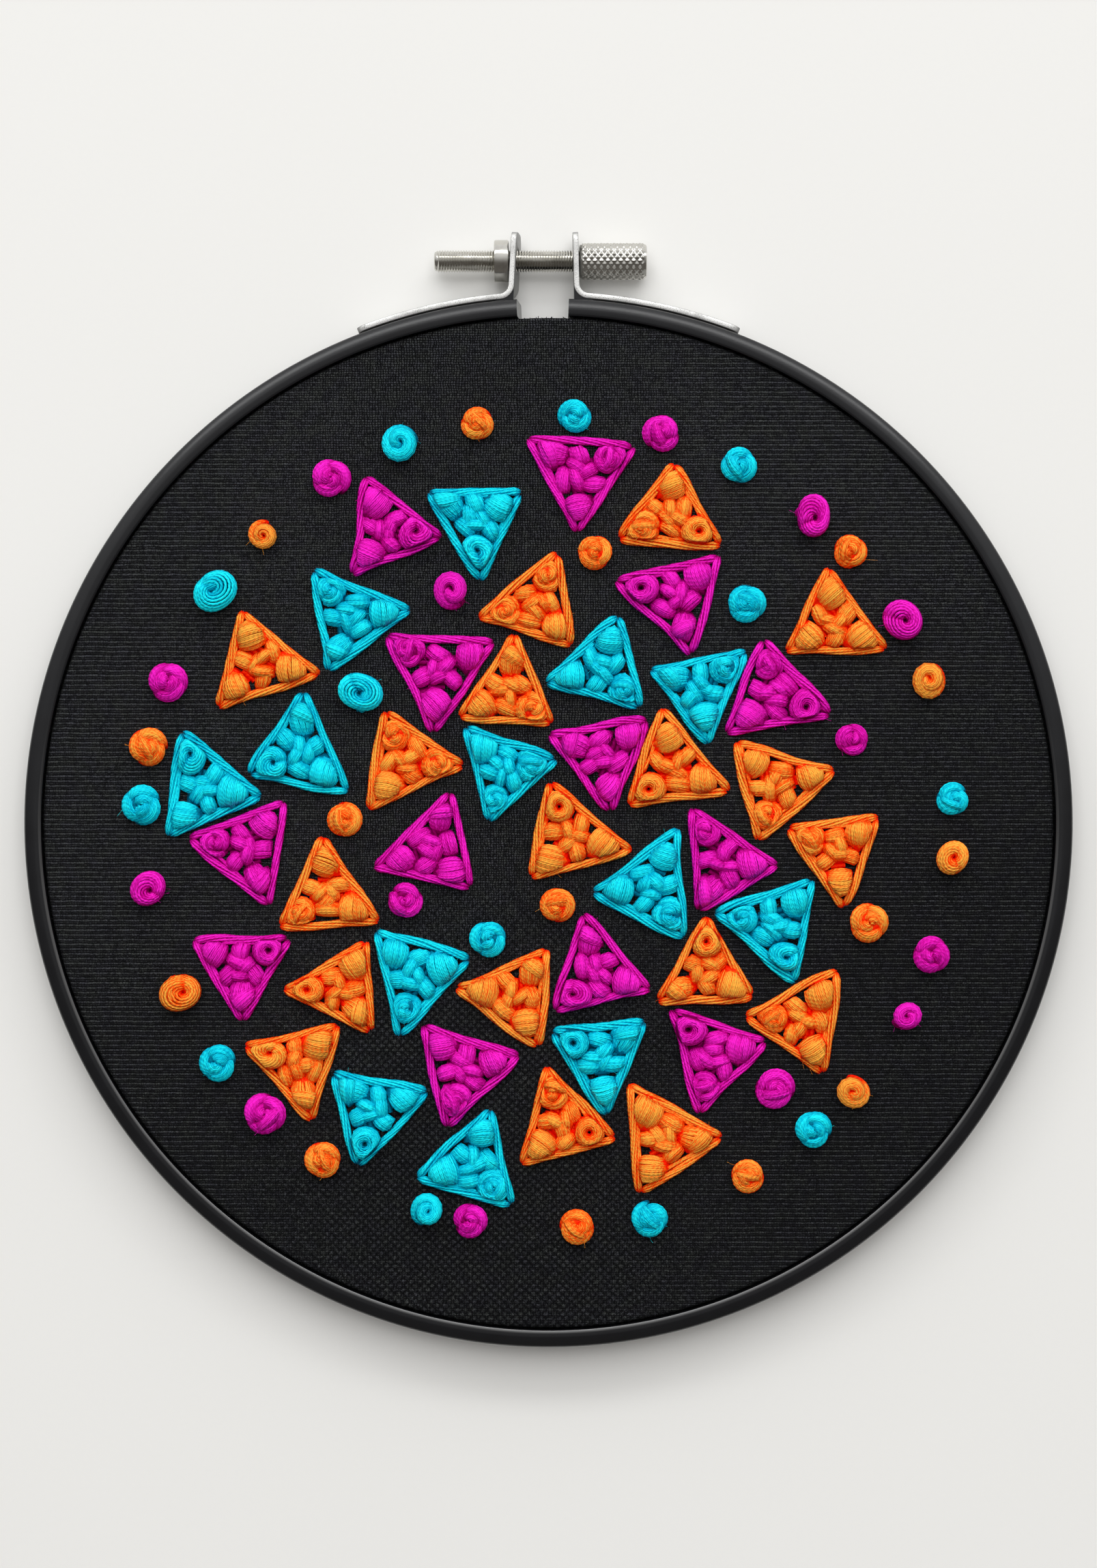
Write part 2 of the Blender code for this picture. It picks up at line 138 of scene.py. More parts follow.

# %% [markdown]
# Every finish and every tree of nodes below is written as Python sums. A `Wire`
# stands for one socket, and a sum of wires adds the Math nodes that work it out.
# A `Board` adds any other node with one call: its settings first, then its sockets.
# The bare numbers in a finish are mostly shares of light and dark.

# %% Wires and boards
def operator(operation, reflected=False):
    """A method for one of Python's operators, which adds its Math node."""
    def method(wire, other):
        pair = (other, wire) if reflected else (wire, other)
        return wire.board.math(operation, *pair)
    return method


class Wire:
    """One socket of a node, which takes part in Python sums."""

    __add__, __radd__ = operator("ADD"), operator("ADD", True)
    __sub__, __rsub__ = operator("SUBTRACT"), operator("SUBTRACT", True)
    __mul__, __rmul__ = operator("MULTIPLY"), operator("MULTIPLY", True)
    __truediv__, __rtruediv__ = operator("DIVIDE"), operator("DIVIDE", True)

    def __init__(self, board, socket):
        self.board = board
        self.socket = socket


class Board:
    """A tree of nodes, and one method that adds any node to it."""

    def __init__(self, tree):
        self.tree = tree

    def add(self, kind, settings, inputs, output=0):
        """A node of any kind, and the wire from one of its outputs."""
        node = self.tree.nodes.new(kind)
        for name, value in settings.items():
            setattr(node, name, value)
        self.fill(node.inputs, inputs)
        return Wire(self, node.outputs[output])

    def fill(self, sockets, values):
        """Link each wire to its socket, and set each plain value on its own."""
        for key, value in values.items():
            if isinstance(value, Wire):
                self.tree.links.new(value.socket, sockets[key])
            else:
                sockets[key].default_value = value

    def math(self, operation, *values):
        return self.add("ShaderNodeMath", {"operation": operation}, dict(enumerate(values)))

    def vector(self, x, y, z):
        return self.add("ShaderNodeCombineXYZ", {}, {0: x, 1: y, 2: z})

    def parts(self, vector):
        """The x, y and z of a vector."""
        node = self.add("ShaderNodeSeparateXYZ", {}, {0: vector}).socket.node
        return [Wire(self, socket) for socket in node.outputs]


def smooth(wire, low, high):
    """0 below low, 1 above high, and a smooth step between."""
    return wire.board.add("ShaderNodeMapRange", {"interpolation_type": "SMOOTHSTEP"},
                          {"Value": wire, "From Min": low, "From Max": high})


def new_finish(name):
    """A material with its board and its main shader's sockets."""
    material = bpy.data.materials.new(name)
    material.use_nodes = True
    return material, Board(material.node_tree), material.node_tree.nodes["Principled BSDF"].inputs


def mix(board, share, first, second):
    """A colour between two others."""
    first, second = (colour if isinstance(colour, Wire) else (*colour, 1)
                     for colour in (first, second))
    return board.add("ShaderNodeMix", {"data_type": "RGBA"}, {0: share, 6: first, 7: second}, 2)


def bump(board, height, depth, strength):
    return board.add("ShaderNodeBump", {}, {
        "Strength": strength, "Distance": depth, "Height": height})


def grain(board, place, size, detail=2.0, roughness=0.5):
    """Soft noise whose lumps are about that size."""
    return board.add("ShaderNodeTexNoise", {}, {
        "Vector": place, "Scale": 1 / size, "Detail": detail, "Roughness": roughness})


def coordinate(board, kind="Object"):
    return board.add("ShaderNodeTexCoord", {}, {}, kind)


print("wires and boards are ready")

# %% [markdown]
# The table is a plain off-white sheet. The photograph is lit softly from beyond
# the screw: the table is brightest there, and a short shadow lies below the hoop.
# So a soft box hangs high on that side, with a second one overhead that thins the
# shadow. Both would put a hard white streak on the metal, so neither shows in
# reflections. A low and wide window beyond the screw does: it draws the long grey
# gleams on the rings. The world fills in the rest: bright beyond the screw, dim
# behind, which gives the bright metal something dark to mirror.

# %% Table
FLOOR_HALF = 1.2
CLOUD_SIZE = 0.25
PAPER_GRAIN = 0.0011
PAPER_DIM, PAPER_CLEAR = (0.85, 0.845, 0.82), (0.90, 0.895, 0.875)


def table_finish():
    material, board, sockets = new_finish("table")
    place = coordinate(board)
    cloudy = grain(board, place, CLOUD_SIZE, 3)
    paper = grain(board, place, PAPER_GRAIN, 2)
    board.fill(sockets, {
        "Base Color": mix(board, cloudy * 0.5 + paper * 0.2, PAPER_DIM, PAPER_CLEAR),
        "Roughness": 0.62 + 0.1 * paper,
        "Normal": bump(board, paper, 0.00001, 0.2)})
    return material


def add_table():
    shape = bmesh.new()
    bmesh.ops.create_grid(shape, x_segments=8, y_segments=8, size=FLOOR_HALF)
    mesh = bpy.data.meshes.new("table")
    shape.to_mesh(mesh)
    shape.free()
    mesh.materials.append(table_finish())
    put("table", mesh)


add_table()
print("table laid")

# %% Lamps and world
LAMPS = (                    # name, place, width, depth, watts, shows in reflections
    ("soft_box", (0.0, 0.72, 1.62), 1.30, 1.00, 8.0, False),
    ("overhead", (0.0, 0.10, 1.75), 1.20, 1.20, 6.6, False),
    ("window", (0.0, 1.30, 1.10), 2.60, 0.36, 10.2, True),
)
SKY_DIM, SKY_BRIGHT = (0.14, 0.13, 0.12), (1.0, 1.0, 1.0)
SKY_STRENGTH = 0.94


def add_lamp(name, place, width, depth, watts, mirrored):
    light = bpy.data.lights.new(name, "AREA")
    light.shape = "RECTANGLE"
    light.size = width
    light.size_y = depth
    light.energy = watts
    lamp = put(name, light)
    lamp.location = place
    lamp.rotation_euler = (-Vector(place)).to_track_quat("-Z", "Y").to_euler()
    lamp.visible_glossy = mirrored


def add_world():
    world = bpy.data.worlds.new("studio")
    world.use_nodes = True
    board = Board(world.node_tree)
    _, forward, height = board.parts(coordinate(board, "Generated"))
    sky = smooth(0.9 * forward + 0.3 * height, 0.0, 0.85)
    board.fill(world.node_tree.nodes["Background"].inputs, {
        "Color": mix(board, sky, SKY_DIM, SKY_BRIGHT), "Strength": SKY_STRENGTH})
    bpy.context.scene.world = world


for lamp in LAMPS:
    add_lamp(*lamp)
add_world()
bpy.context.scene.view_settings.view_transform = "Standard"
print("lamps:", [lamp[0] for lamp in LAMPS])

# %% [markdown]
# ## The hoop's rings
#
# The outer ring is moulded black plastic with a satin face. Its crest runs close to
# the cloth. A narrow bevel falls to the cloth and a broad, nearly flat one to the
# outer wall. The light from beyond the screw greys the broad bevel at the top of
# the ring and draws a bright line on the lip of the narrow one at the bottom, where
# hands have rubbed it smooth: there the finish gets a clear coat. A profile of
# points is carried round the centre in many small steps. The ring is split at the
# top, so the profile stops at both ends, and the left end leans.

# %% Plastic finish
PLASTIC_FINE, PLASTIC_WEAR = 0.00022, 0.006
PLASTIC_DARK, PLASTIC_WORN = (0.0045, 0.0047, 0.0056), (0.010, 0.0105, 0.0125)
RUBBED_FROM, RUBBED_FULLY = 0.02, -0.03             # along y, towards the near side
LIP_FOOT, LIP_TOP = 0.00960, 0.00968                # heights
LIP_INSIDE, LIP_OUTSIDE = 0.0912, 0.0914            # distances from the centre


def plastic_finish():
    material, board, sockets = new_finish("satin black plastic")
    place = coordinate(board)
    fine = grain(board, place, PLASTIC_FINE, 3, 0.6)
    worn = grain(board, place, PLASTIC_WEAR, 4, 0.6)
    x, y, z = board.parts(place)
    reach = board.math("SQRT", x * x + (y - CENTRE.y) * (y - CENTRE.y))
    rubbed = smooth(y, RUBBED_FROM, RUBBED_FULLY) * smooth(z, LIP_FOOT, LIP_TOP)
    board.fill(sockets, {
        "Base Color": mix(board, worn, PLASTIC_DARK, PLASTIC_WORN),
        "Roughness": 0.13 + 0.10 * fine + 0.10 * worn,
        "Normal": bump(board, fine, 0.00003, 0.3),
        "Coat Weight": rubbed * (1 - smooth(reach, LIP_INSIDE, LIP_OUTSIDE)),
        "Coat Roughness": 0.06,
        "Coat IOR": 2.2})
    return material


PLASTIC = plastic_finish()
print("finish:", PLASTIC.name)


def new_piece(name, shape, material, body="hoop", place=None, sharp=35):
    """Put a finished shape in the scene as a piece that rides on a body."""
    if place is not None:
        bmesh.ops.translate(shape, verts=shape.verts, vec=place)
    mesh = bpy.data.meshes.new(name)
    shape.to_mesh(mesh)
    shape.free()
    mesh.materials.append(material)
    mesh.shade_smooth()
    mesh.set_sharp_from_angle(angle=math.radians(sharp))
    piece = put(name, mesh)
    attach(piece, body)
    return piece


def skin(loops, closed):
    """Join equal loops of points in turn, back to the first or with end caps."""
    shape = bmesh.new()
    rows = [[shape.verts.new(point) for point in loop] for loop in loops]
    if closed:
        rows.append(rows[0])
    else:
        shape.faces.new(rows[0])
        shape.faces.new(rows[-1])
    for row, following in zip(rows, rows[1:]):
        for k in range(len(row)):
            after = (k + 1) % len(row)
            shape.faces.new((row[k], row[after], following[after], following[k]))
    bmesh.ops.recalc_face_normals(shape, faces=shape.faces)
    return shape


def round_point(radius, angle, height=0.0):
    return Vector((radius * math.cos(angle), radius * math.sin(angle), height))


def arc_points(centre, reach, first, last, steps):
    """Points of an elliptical arc in a profile, from one bearing to another in degrees."""
    bearings = [math.radians(first + (last - first) * k / steps) for k in range(steps + 1)]
    return [(centre[0] + reach[0] * math.cos(b), centre[1] + reach[1] * math.sin(b))
            for b in bearings]


def tell(piece):
    print(f"{piece.name}: {len(piece.data.polygons)} faces")


# %% Outer ring
RING_STEPS = 288
RING_FACE = (                # distance from the centre, and height
    (0.0908, 0.0091), (0.0908, 0.00958), (0.09082, 0.00966), (0.09085, 0.009695),
    (0.09088, 0.009712), (0.09108, 0.009805), (0.09111, 0.009815), (0.09115, 0.00982),
    (0.0915, 0.00985), (0.0919, 0.00987), (0.0921, 0.00986), (0.0930, 0.00951),
    (0.0935, 0.00926), (0.0937, 0.00912), (0.09385, 0.00893), (0.09395, 0.00868),
    (0.0940, 0.00835))


def outer_ring():
    rounding = (BACK_CHAMFER, BACK_CHAMFER)
    profile = [(RING_INSIDE, BACK_CHAMFER), *RING_FACE, (HOOP_RADIUS, 3 * BACK_CHAMFER)]
    profile += arc_points((HOOP_RADIUS - BACK_CHAMFER, BACK_CHAMFER), rounding, 0, -90, 3)
    profile += arc_points((RING_INSIDE + BACK_CHAMFER, BACK_CHAMFER), rounding, -90, -150, 2)
    middle = (RING_INSIDE + HOOP_RADIUS) / 2
    left = math.pi / 2 + GAP_LEFT / middle
    right = math.tau + math.pi / 2 - GAP_RIGHT / middle
    slant = SPLIT_SLANT / middle
    loops = []
    for step in range(RING_STEPS + 1):
        share = step / RING_STEPS
        loop = []
        for radius, height in profile:
            start = left - slant * (1 - height / HOOP_HEIGHT)
            loop.append(round_point(radius, start + share * (right - start), height))
        loops.append(loop)
    ring = new_piece("outer_ring_fine", skin(loops, closed=False), PLASTIC,
                     place=CENTRE)
    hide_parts("outer_ring")
    return ring


tell(outer_ring())

# %% [markdown]
# The inner ring hides under the cloth and only shows from behind. It gets the same
# plastic, with softly rounded edges over which the cloth can slide.

# %% Inner ring
INNER_ROUND = 0.0007


def inner_ring():
    top = CLOTH_LEVEL - CLOTH_THICKNESS - FIT_GAP
    low, high = INNER_ROUND, top - INNER_ROUND
    near, far = INNER_RADIUS - INNER_WALL + INNER_ROUND, INNER_RADIUS - INNER_ROUND
    profile = []
    for x, y, first in ((near, low, 270), (near, high, 180), (far, high, 90), (far, low, 0)):
        profile += arc_points((x, y), (INNER_ROUND, INNER_ROUND), first, first - 90, 3)
    loops = [[round_point(radius, math.tau * step / RING_STEPS, height)
              for radius, height in profile] for step in range(RING_STEPS)]
    ring = new_piece("inner_ring_fine", skin(loops, closed=True), PLASTIC,
                     place=CENTRE)
    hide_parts("inner_ring")
    return ring


tell(inner_ring())

# %% [markdown]
# ## The clamp
#
# Two bent steel strips grip the ring's ends, and a long screw pulls them together.
# The strips were cut and tumbled, so their edges, which are what shows from above,
# are bright, partly matt and finely pitted. Their upright faces get painted shade:
# a darker colour than the edges'.
# The turned screw and nut are bright all over. One finish makes both. Each strip
# follows one line: down its tab, round a bend, and along the ring's wall. The line
# is the same as for the solid, in finer steps, and rounded at its long edges.

# %% Metal finishes
STAIN_SIZE = 0.003
STAIN_SHADE = 0.72
PIT_COLOUR = (0.10, 0.10, 0.10)


def metal_finish(name, colour, polish, speck, depth, side_shade=1.0, metallic=1.0, pitted=0.0):
    """Nickel-plated steel: specks of a size, dark pits, and upright faces painted darker, as
    painted shade.
    """
    material, board, sockets = new_finish(name)
    place = coordinate(board)
    specks = grain(board, place, speck, 3, 0.65)
    stain = grain(board, place, STAIN_SIZE, 3, 0.55)
    dull, shaded_side = (tuple(share * part for part in colour) for share in (STAIN_SHADE, side_shade))
    face = mix(board, smooth(stain, 0.42, 0.75), colour, dull)
    face = mix(board, pitted * smooth(specks, 0.55, 0.68), face, PIT_COLOUR)
    # painted shade: faces that don't face up take the darker side colour
    rise = board.parts(coordinate(board, "Normal"))[2]
    board.fill(sockets, {
        "Base Color": mix(board, smooth(rise, 0.45, 0.90), shaded_side, face),
        "Metallic": metallic,
        "Roughness": polish[0] + (polish[1] - polish[0]) * specks,
        "Normal": bump(board, specks, depth, 0.6)})
    return material


STRIP_METAL = metal_finish("tumbled strip", (0.97, 0.97, 0.95), (0.35, 0.70), speck=0.00020,
                           depth=0.00010, side_shade=0.36, metallic=0.6, pitted=0.8)
SCREW_METAL = metal_finish("bright screw", (0.66, 0.645, 0.60), (0.10, 0.26), speck=0.00050,
                           depth=0.00001)
print("metals:", STRIP_METAL.name, "and", SCREW_METAL.name)

# %% Clamp strips
BEND_STEPS = 14
ARM_STEPS = 30
EDGE_ROUND = 0.00012
CORNER_SHARES = (0, 0.05, 0.14, 0.27, 0.44, 0.65, 0.85, 1)
DRILL_REACH = 0.02
DRILL_STEPS = 48


def heading(angle):
    """A direction in the plane of the hoop."""
    return Vector((math.cos(angle), math.sin(angle)))


def lug_path(tab_x, lean):
    """A strip's middle line from its tab's tip to its arm's end, on the +X side."""
    out = heading(lean)
    up = out.orthogonal()
    strip_radius = HOOP_RADIUS + FIT_GAP + LUG_THICKNESS / 2
    beside = Vector((tab_x, SCREW_REACH)) + out * LUG_BEND
    reach = strip_radius + LUG_BEND
    middle = beside.dot(up)
    drop = -middle + math.sqrt(middle ** 2 - beside.length_squared + reach ** 2)
    bend = beside + up * drop
    tab_length = TAB_RISE / math.cos(lean) - drop
    tip = bend - out * LUG_BEND + up * tab_length
    rounding = [share * LUG_CORNER for share in CORNER_SHARES]
    stations = [(tip - up * step, -up, step, 1) for step in rounding]
    straight = tab_length - LUG_CORNER
    stations += [(tip - up * (LUG_CORNER + straight * k / 8), -up, LUG_CORNER, 1)
                 for k in range(1, 8)]
    first = math.pi + lean
    last = math.pi + math.atan2(bend.y, bend.x)
    for step in range(BEND_STEPS + 1):
        share = step / BEND_STEPS
        angle = first + share * (last - first)
        point = bend + LUG_BEND * heading(angle)
        stations.append((point, heading(angle).orthogonal(), LUG_CORNER, 1 - share))
    start = math.atan2(bend.y, bend.x)
    arm_end = math.pi / 2 - LUG_ARM_END
    flat_end = arm_end + LUG_CORNER / strip_radius
    angles = [start + (flat_end - start) * step / ARM_STEPS for step in range(1, ARM_STEPS + 1)]
    angles += [arm_end + step / strip_radius for step in reversed(rounding[:-1])]
    for angle in angles:
        to_end = (angle - arm_end) * strip_radius
        stations.append((strip_radius * heading(angle), -heading(angle).orthogonal(), to_end, 0))
    return stations


def turned(profile, steps):
    """Circles about the X axis, from pairs of x and radius."""
    angles = [math.tau * step / steps for step in range(steps)]
    return [[Vector((x, radius * math.cos(a), radius * math.sin(a))) for a in angles]
            for x, radius in profile]


def settled_mesh(piece):
    """The mesh that a piece's modifiers make."""
    bpy.context.view_layer.update()
    graph = bpy.context.evaluated_depsgraph_get()
    return bpy.data.meshes.new_from_object(
        piece.evaluated_get(graph), preserve_all_data_layers=True, depsgraph=graph)


def lug(name, node, side, tab_x, lean, slant):
    """A strip on the left (side -1) or right (1), with the hole for the rod drilled."""
    thick, soft = LUG_THICKNESS / 2, EDGE_ROUND
    loops = []
    for point, along, to_end, on_tab in lug_path(tab_x, lean):
        cut = max(0, LUG_CORNER - to_end)
        half = LUG_WIDTH / 2 - LUG_CORNER + math.sqrt(max(0, LUG_CORNER ** 2 - cut ** 2))
        across = -along.orthogonal()
        loop = []
        for reach, height in (
                (-thick + soft, -half), (thick - soft, -half), (thick, -half + soft),
                (thick, half - soft), (thick - soft, half), (-thick + soft, half),
                (-thick, half - soft), (-thick, -half + soft)):
            spot = point + across * reach
            shifted = spot.x - on_tab * slant * (0.5 - height / LUG_WIDTH)
            loop.append((side * shifted, spot.y, LUG_MIDDLE + height))
        loops.append(loop)
    strip = new_piece(name, skin(loops, closed=False), STRIP_METAL,
                      place=CENTRE, sharp=50)
    rod = turned([(-DRILL_REACH, ROD_HOLE), (DRILL_REACH, ROD_HOLE)], DRILL_STEPS)
    drill = new_piece(name + "_drill", skin(rod, closed=False), STRIP_METAL, place=SCREW_AXIS)
    cut = strip.modifiers.new("rod hole", "BOOLEAN")
    cut.operation = "DIFFERENCE"
    cut.solver = "EXACT"
    cut.object = drill
    mesh = settled_mesh(strip)
    strip.modifiers.clear()
    strip.data = mesh
    bpy.data.objects.remove(drill)
    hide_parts(node)
    return strip


for settings in (("strip_left", "lug_left", -1, LEFT_TAB_X, LEFT_TAB_LEAN, SPLIT_SLANT),
                 ("strip_right", "lug_right", 1, RIGHT_TAB_X, RIGHT_TAB_LEAN, 0)):
    tell(lug(*settings))

# %% [markdown]
# A block of black plastic, in the ring's finish, fills the corner between the ring's
# wall and each strip's bend, which makes that corner dark. The block lies under the
# strip's edge, and its side runs on in line with the tab.

# %% Corners of the ring
CORNER_TOP = 0.0079
CORNER_FOOT = 0.0009
CORNER_CLEARANCE = 0.00002   # between the corner and the strip
CORNER_BITE = 0.0006         # how far the corner reaches into the ring's wall
CORNER_STEPS = 4


def ring_corner(name, side, tab_x, lean):
    stations = lug_path(tab_x, lean)
    bend = [(point, along) for point, along, _, on_tab in stations if on_tab < 1]
    tab_end, down = [(point, along) for point, along, _, on_tab in stations if on_tab == 1][-1]
    inset = LUG_THICKNESS / 2 + CORNER_CLEARANCE
    outside = [point - along.orthogonal() * inset for point, along in bend[:BEND_STEPS + 1]]
    inner = tab_end - down.orthogonal() * inset
    wall = HOOP_RADIUS - CORNER_BITE
    reach = -inner.dot(down) - math.sqrt(inner.dot(down) ** 2 - inner.length_squared + wall ** 2)
    foot = inner + down * reach
    far = math.atan2(outside[-1].y, outside[-1].x)
    near = math.atan2(foot.y, foot.x)
    ring = [wall * heading(far + (near - far) * k / CORNER_STEPS)
            for k in range(CORNER_STEPS + 1)]
    loops = [[(side * point.x, point.y, height) for point in (inner, *outside, *ring)]
             for height in (CORNER_FOOT, CORNER_TOP)]
    return new_piece(name, skin(loops, closed=False), PLASTIC, place=CENTRE)


for settings in (("corner_left", -1, LEFT_TAB_X, LEFT_TAB_LEAN),
                 ("corner_right", 1, RIGHT_TAB_X, RIGHT_TAB_LEAN)):
    tell(ring_corner(*settings))

# %% [markdown]
# The screw's thread and the diamonds of its grip repeat by a rule, so Geometry
# Nodes make both. A flat grid is wrapped round the axis: one side of the grid runs
# along the screw and the other round it. The radius at each point comes from a
# triangle wave. One wave that climbs as it goes round is a screw thread. Two waves
# that climb in opposite ways, of which the lower counts, are a knurl.

# %% Trees that wrap a surface round the screw
SEAM = 1e-6                  # points nearer than this are one point


def new_tree(name, sockets):
    """An empty tree of geometry nodes, with named inputs, as a board and its wires."""
    tree = bpy.data.node_groups.new(name, "GeometryNodeTree")
    tree.interface.new_socket("Geometry", in_out="OUTPUT", socket_type="NodeSocketGeometry")
    for label, kind in sockets:
        tree.interface.new_socket(label, in_out="INPUT", socket_type="NodeSocket" + kind)
    board = Board(tree)
    source = tree.nodes.new("NodeGroupInput")
    wires = {label: Wire(board, source.outputs[label]) for label, _ in sockets}
    return tree, board, wires


def end_tree(board, geometry, material):
    """The last steps of each tree: smooth shading, real meshes, and their material."""
    even = board.add("GeometryNodeSetShadeSmooth", {}, {"Geometry": geometry})
    real = board.add("GeometryNodeRealizeInstances", {}, {"Geometry": even})
    done = board.add("GeometryNodeSetMaterial", {}, {"Geometry": real, "Material": material})
    target = board.tree.nodes.new("NodeGroupOutput")
    board.tree.links.new(done.socket, target.inputs["Geometry"])


def wave(wire):
    """A triangle wave, from 0 to 1 and back once for each whole number."""
    return wire.board.math("PINGPONG", wire * 2, 1.0)


def wrapped_tree():
    """A grid wrapped round X, with grooves: climbs threads, or diamonds if crossed."""
    tree, board, wires = new_tree("wrapped_grid", (
        ("Start", "Float"), ("Length", "Float"), ("Radius", "Float"), ("Depth", "Float"),
        ("Pitch", "Float"), ("Climbs", "Float"), ("Crossed", "Float"), ("Run Out", "Float"),
        ("Steps Along", "Int"), ("Steps Round", "Int"), ("Material", "Material")))
    grid = board.add("GeometryNodeMeshGrid", {}, {
        "Size X": 1.0, "Size Y": 1.0, "Vertices X": wires["Steps Along"],
        "Vertices Y": wires["Steps Round"]})
    along, around, _ = board.parts(board.add("GeometryNodeInputPosition", {}, {}))
    along = (along + 0.5) * wires["Length"]
    around = around + 0.5
    climb = wave(along / wires["Pitch"] + around * wires["Climbs"])
    fall = wave(along / wires["Pitch"] - around * wires["Climbs"])
    relief = climb + (board.math("MINIMUM", climb, fall) - climb) * wires["Crossed"]
    to_end = board.math("MINIMUM", along, wires["Length"] - along)
    near_end = smooth(to_end, 0.0, wires["Run Out"])
    radius = wires["Radius"] - wires["Depth"] * (1 - relief * near_end)
    angle = around * math.tau
    place = board.vector(along + wires["Start"], radius * board.math("COSINE", angle),
                         radius * board.math("SINE", angle))
    moved = board.add("GeometryNodeSetPosition", {}, {"Geometry": grid, "Position": place})
    joined = board.add("GeometryNodeMergeByDistance", {}, {"Geometry": moved, "Distance": SEAM})
    end_tree(board, joined, wires["Material"])
    return tree


def grown_mesh(tree, values, seed_mesh=None):
    """Run a tree with those values on an empty or given mesh, and keep what it makes."""
    holder = put("holder", seed_mesh or bpy.data.meshes.new("holder"))
    modifier = holder.modifiers.new("grow", "NODES")
    modifier.node_group = tree
    for item in tree.interface.items_tree:
        if item.item_type == "SOCKET" and item.in_out == "INPUT" and item.name in values:
            modifier[item.identifier] = values[item.name]
    mesh = settled_mesh(holder)
    bpy.data.objects.remove(holder)
    return mesh


WRAPPED = wrapped_tree()
print("tree:", WRAPPED.name, len(WRAPPED.nodes), "nodes")

# %% Thumbscrew
THREAD_PITCH_M4 = 0.00048
THREAD_DEPTH = 0.00026
THREAD_RUN_OUT = 0.0004
KNURL_PITCH = 0.00116
KNURL_STARTS = 17
KNURL_DEPTH = 0.00024
KNURL_RUN_OUT = 0.0002
TIP = 0.0003                 # the plain tip of the rod, before its thread
TIP_BEVEL = (0.0001, 0.00012, 0.00034)
GRIP_EDGE = 0.00045          # the plain edge at each end of the grip
GRIP_BEVEL = (0.00012, 0.00012, 0.0004)
ROD_CAP, GRIP_CAP = 0.0004, 0.0010


def close_end(shape, end, inward):
    """Turn an open edge in towards the axis in steps of x and radius, and cap it."""
    rim = [edge for edge in shape.edges if edge.is_boundary
           and all(abs(vert.co.x - end) < SEAM for vert in edge.verts)]
    for x, radius in inward:
        grown = bmesh.ops.extrude_edge_only(shape, edges=rim)["geom"]
        rim = [item for item in grown if isinstance(item, bmesh.types.BMEdge)]
        for vert in {vert for edge in rim for vert in edge.verts}:
            flat = vert.co.yz.normalized() * radius
            vert.co = (x, flat.x, flat.y)
    bmesh.ops.contextual_create(shape, geom=rim)


def bevelled(end, side, rim, bevel, cap):
    """Steps from a rim round a bevel to a flat end, which faces away from side."""
    along, soft, flat = bevel
    return [(end + side * along, rim - soft), (end, rim - flat), (end, cap)]


def wrapped(sizes):
    """The grooved surface that the tree makes with those sizes."""
    shape = bmesh.new()
    shape.from_mesh(grown_mesh(WRAPPED, {**sizes, "Material": SCREW_METAL}))
    return shape


def thumbscrew():
    shape = wrapped({
        "Start": ROD_END + TIP, "Length": KNOB_START - ROD_END, "Radius": ROD_RADIUS,
        "Depth": THREAD_DEPTH, "Pitch": THREAD_PITCH_M4, "Climbs": 1.0, "Crossed": 0.0,
        "Run Out": THREAD_RUN_OUT, "Steps Along": 331, "Steps Round": 25})
    grip = wrapped({
        "Start": KNOB_START + GRIP_EDGE, "Length": KNOB_END - KNOB_START - 2 * GRIP_EDGE,
        "Radius": KNOB_RADIUS, "Depth": KNURL_DEPTH, "Pitch": KNURL_PITCH,
        "Climbs": float(KNURL_STARTS), "Crossed": 1.0, "Run Out": KNURL_RUN_OUT,
        "Steps Along": 85, "Steps Round": KNURL_STARTS * 8 + 1})
    close_end(shape, ROD_END + TIP,
              bevelled(ROD_END, 1, ROD_RADIUS - THREAD_DEPTH, TIP_BEVEL, ROD_CAP))
    close_end(shape, KNOB_START + TIP, [(KNOB_START + TIP, ROD_CAP)])
    for end, side in ((KNOB_START, 1), (KNOB_END, -1)):
        close_end(grip, end + side * GRIP_EDGE,
                  bevelled(end, side, KNOB_RADIUS - KNURL_DEPTH, GRIP_BEVEL, GRIP_CAP))
    loose = bpy.data.meshes.new("grip")
    grip.to_mesh(loose)
    grip.free()
    shape.from_mesh(loose)
    bmesh.ops.recalc_face_normals(shape, faces=shape.faces)
    screw = new_piece("threaded_screw", shape, SCREW_METAL, "thumbscrew",
                      SCREW_AXIS, sharp=40)
    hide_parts("thumbscrew")
    return screw


tell(thumbscrew())

# %% [markdown]
# The nut beside the left tab is a plain turned collar, with a small chamfer on each
# rim. Its bore leaves the thread free.

# %% Collar nut
def collar_nut():
    bore = ROD_RADIUS + 0.6 * FIT_GAP
    rim = NUT_RADIUS - NUT_CHAMFER
    profile = [(NUT_START + NUT_CHAMFER, bore), (NUT_START, bore + NUT_CHAMFER), (NUT_START, rim),
               (NUT_START + 0.3 * NUT_CHAMFER, rim + 0.7 * NUT_CHAMFER),
               (NUT_START + NUT_CHAMFER, NUT_RADIUS), (NUT_END - NUT_CHAMFER, NUT_RADIUS),
               (NUT_END - 0.3 * NUT_CHAMFER, rim + 0.7 * NUT_CHAMFER), (NUT_END, rim),
               (NUT_END, bore + NUT_CHAMFER), (NUT_END - NUT_CHAMFER, bore)]
    nut = new_piece("collar", skin(turned(profile, 96), closed=True), SCREW_METAL,
                    place=SCREW_AXIS, sharp=25)
    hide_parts("collar_nut")
    return nut


tell(collar_nut())
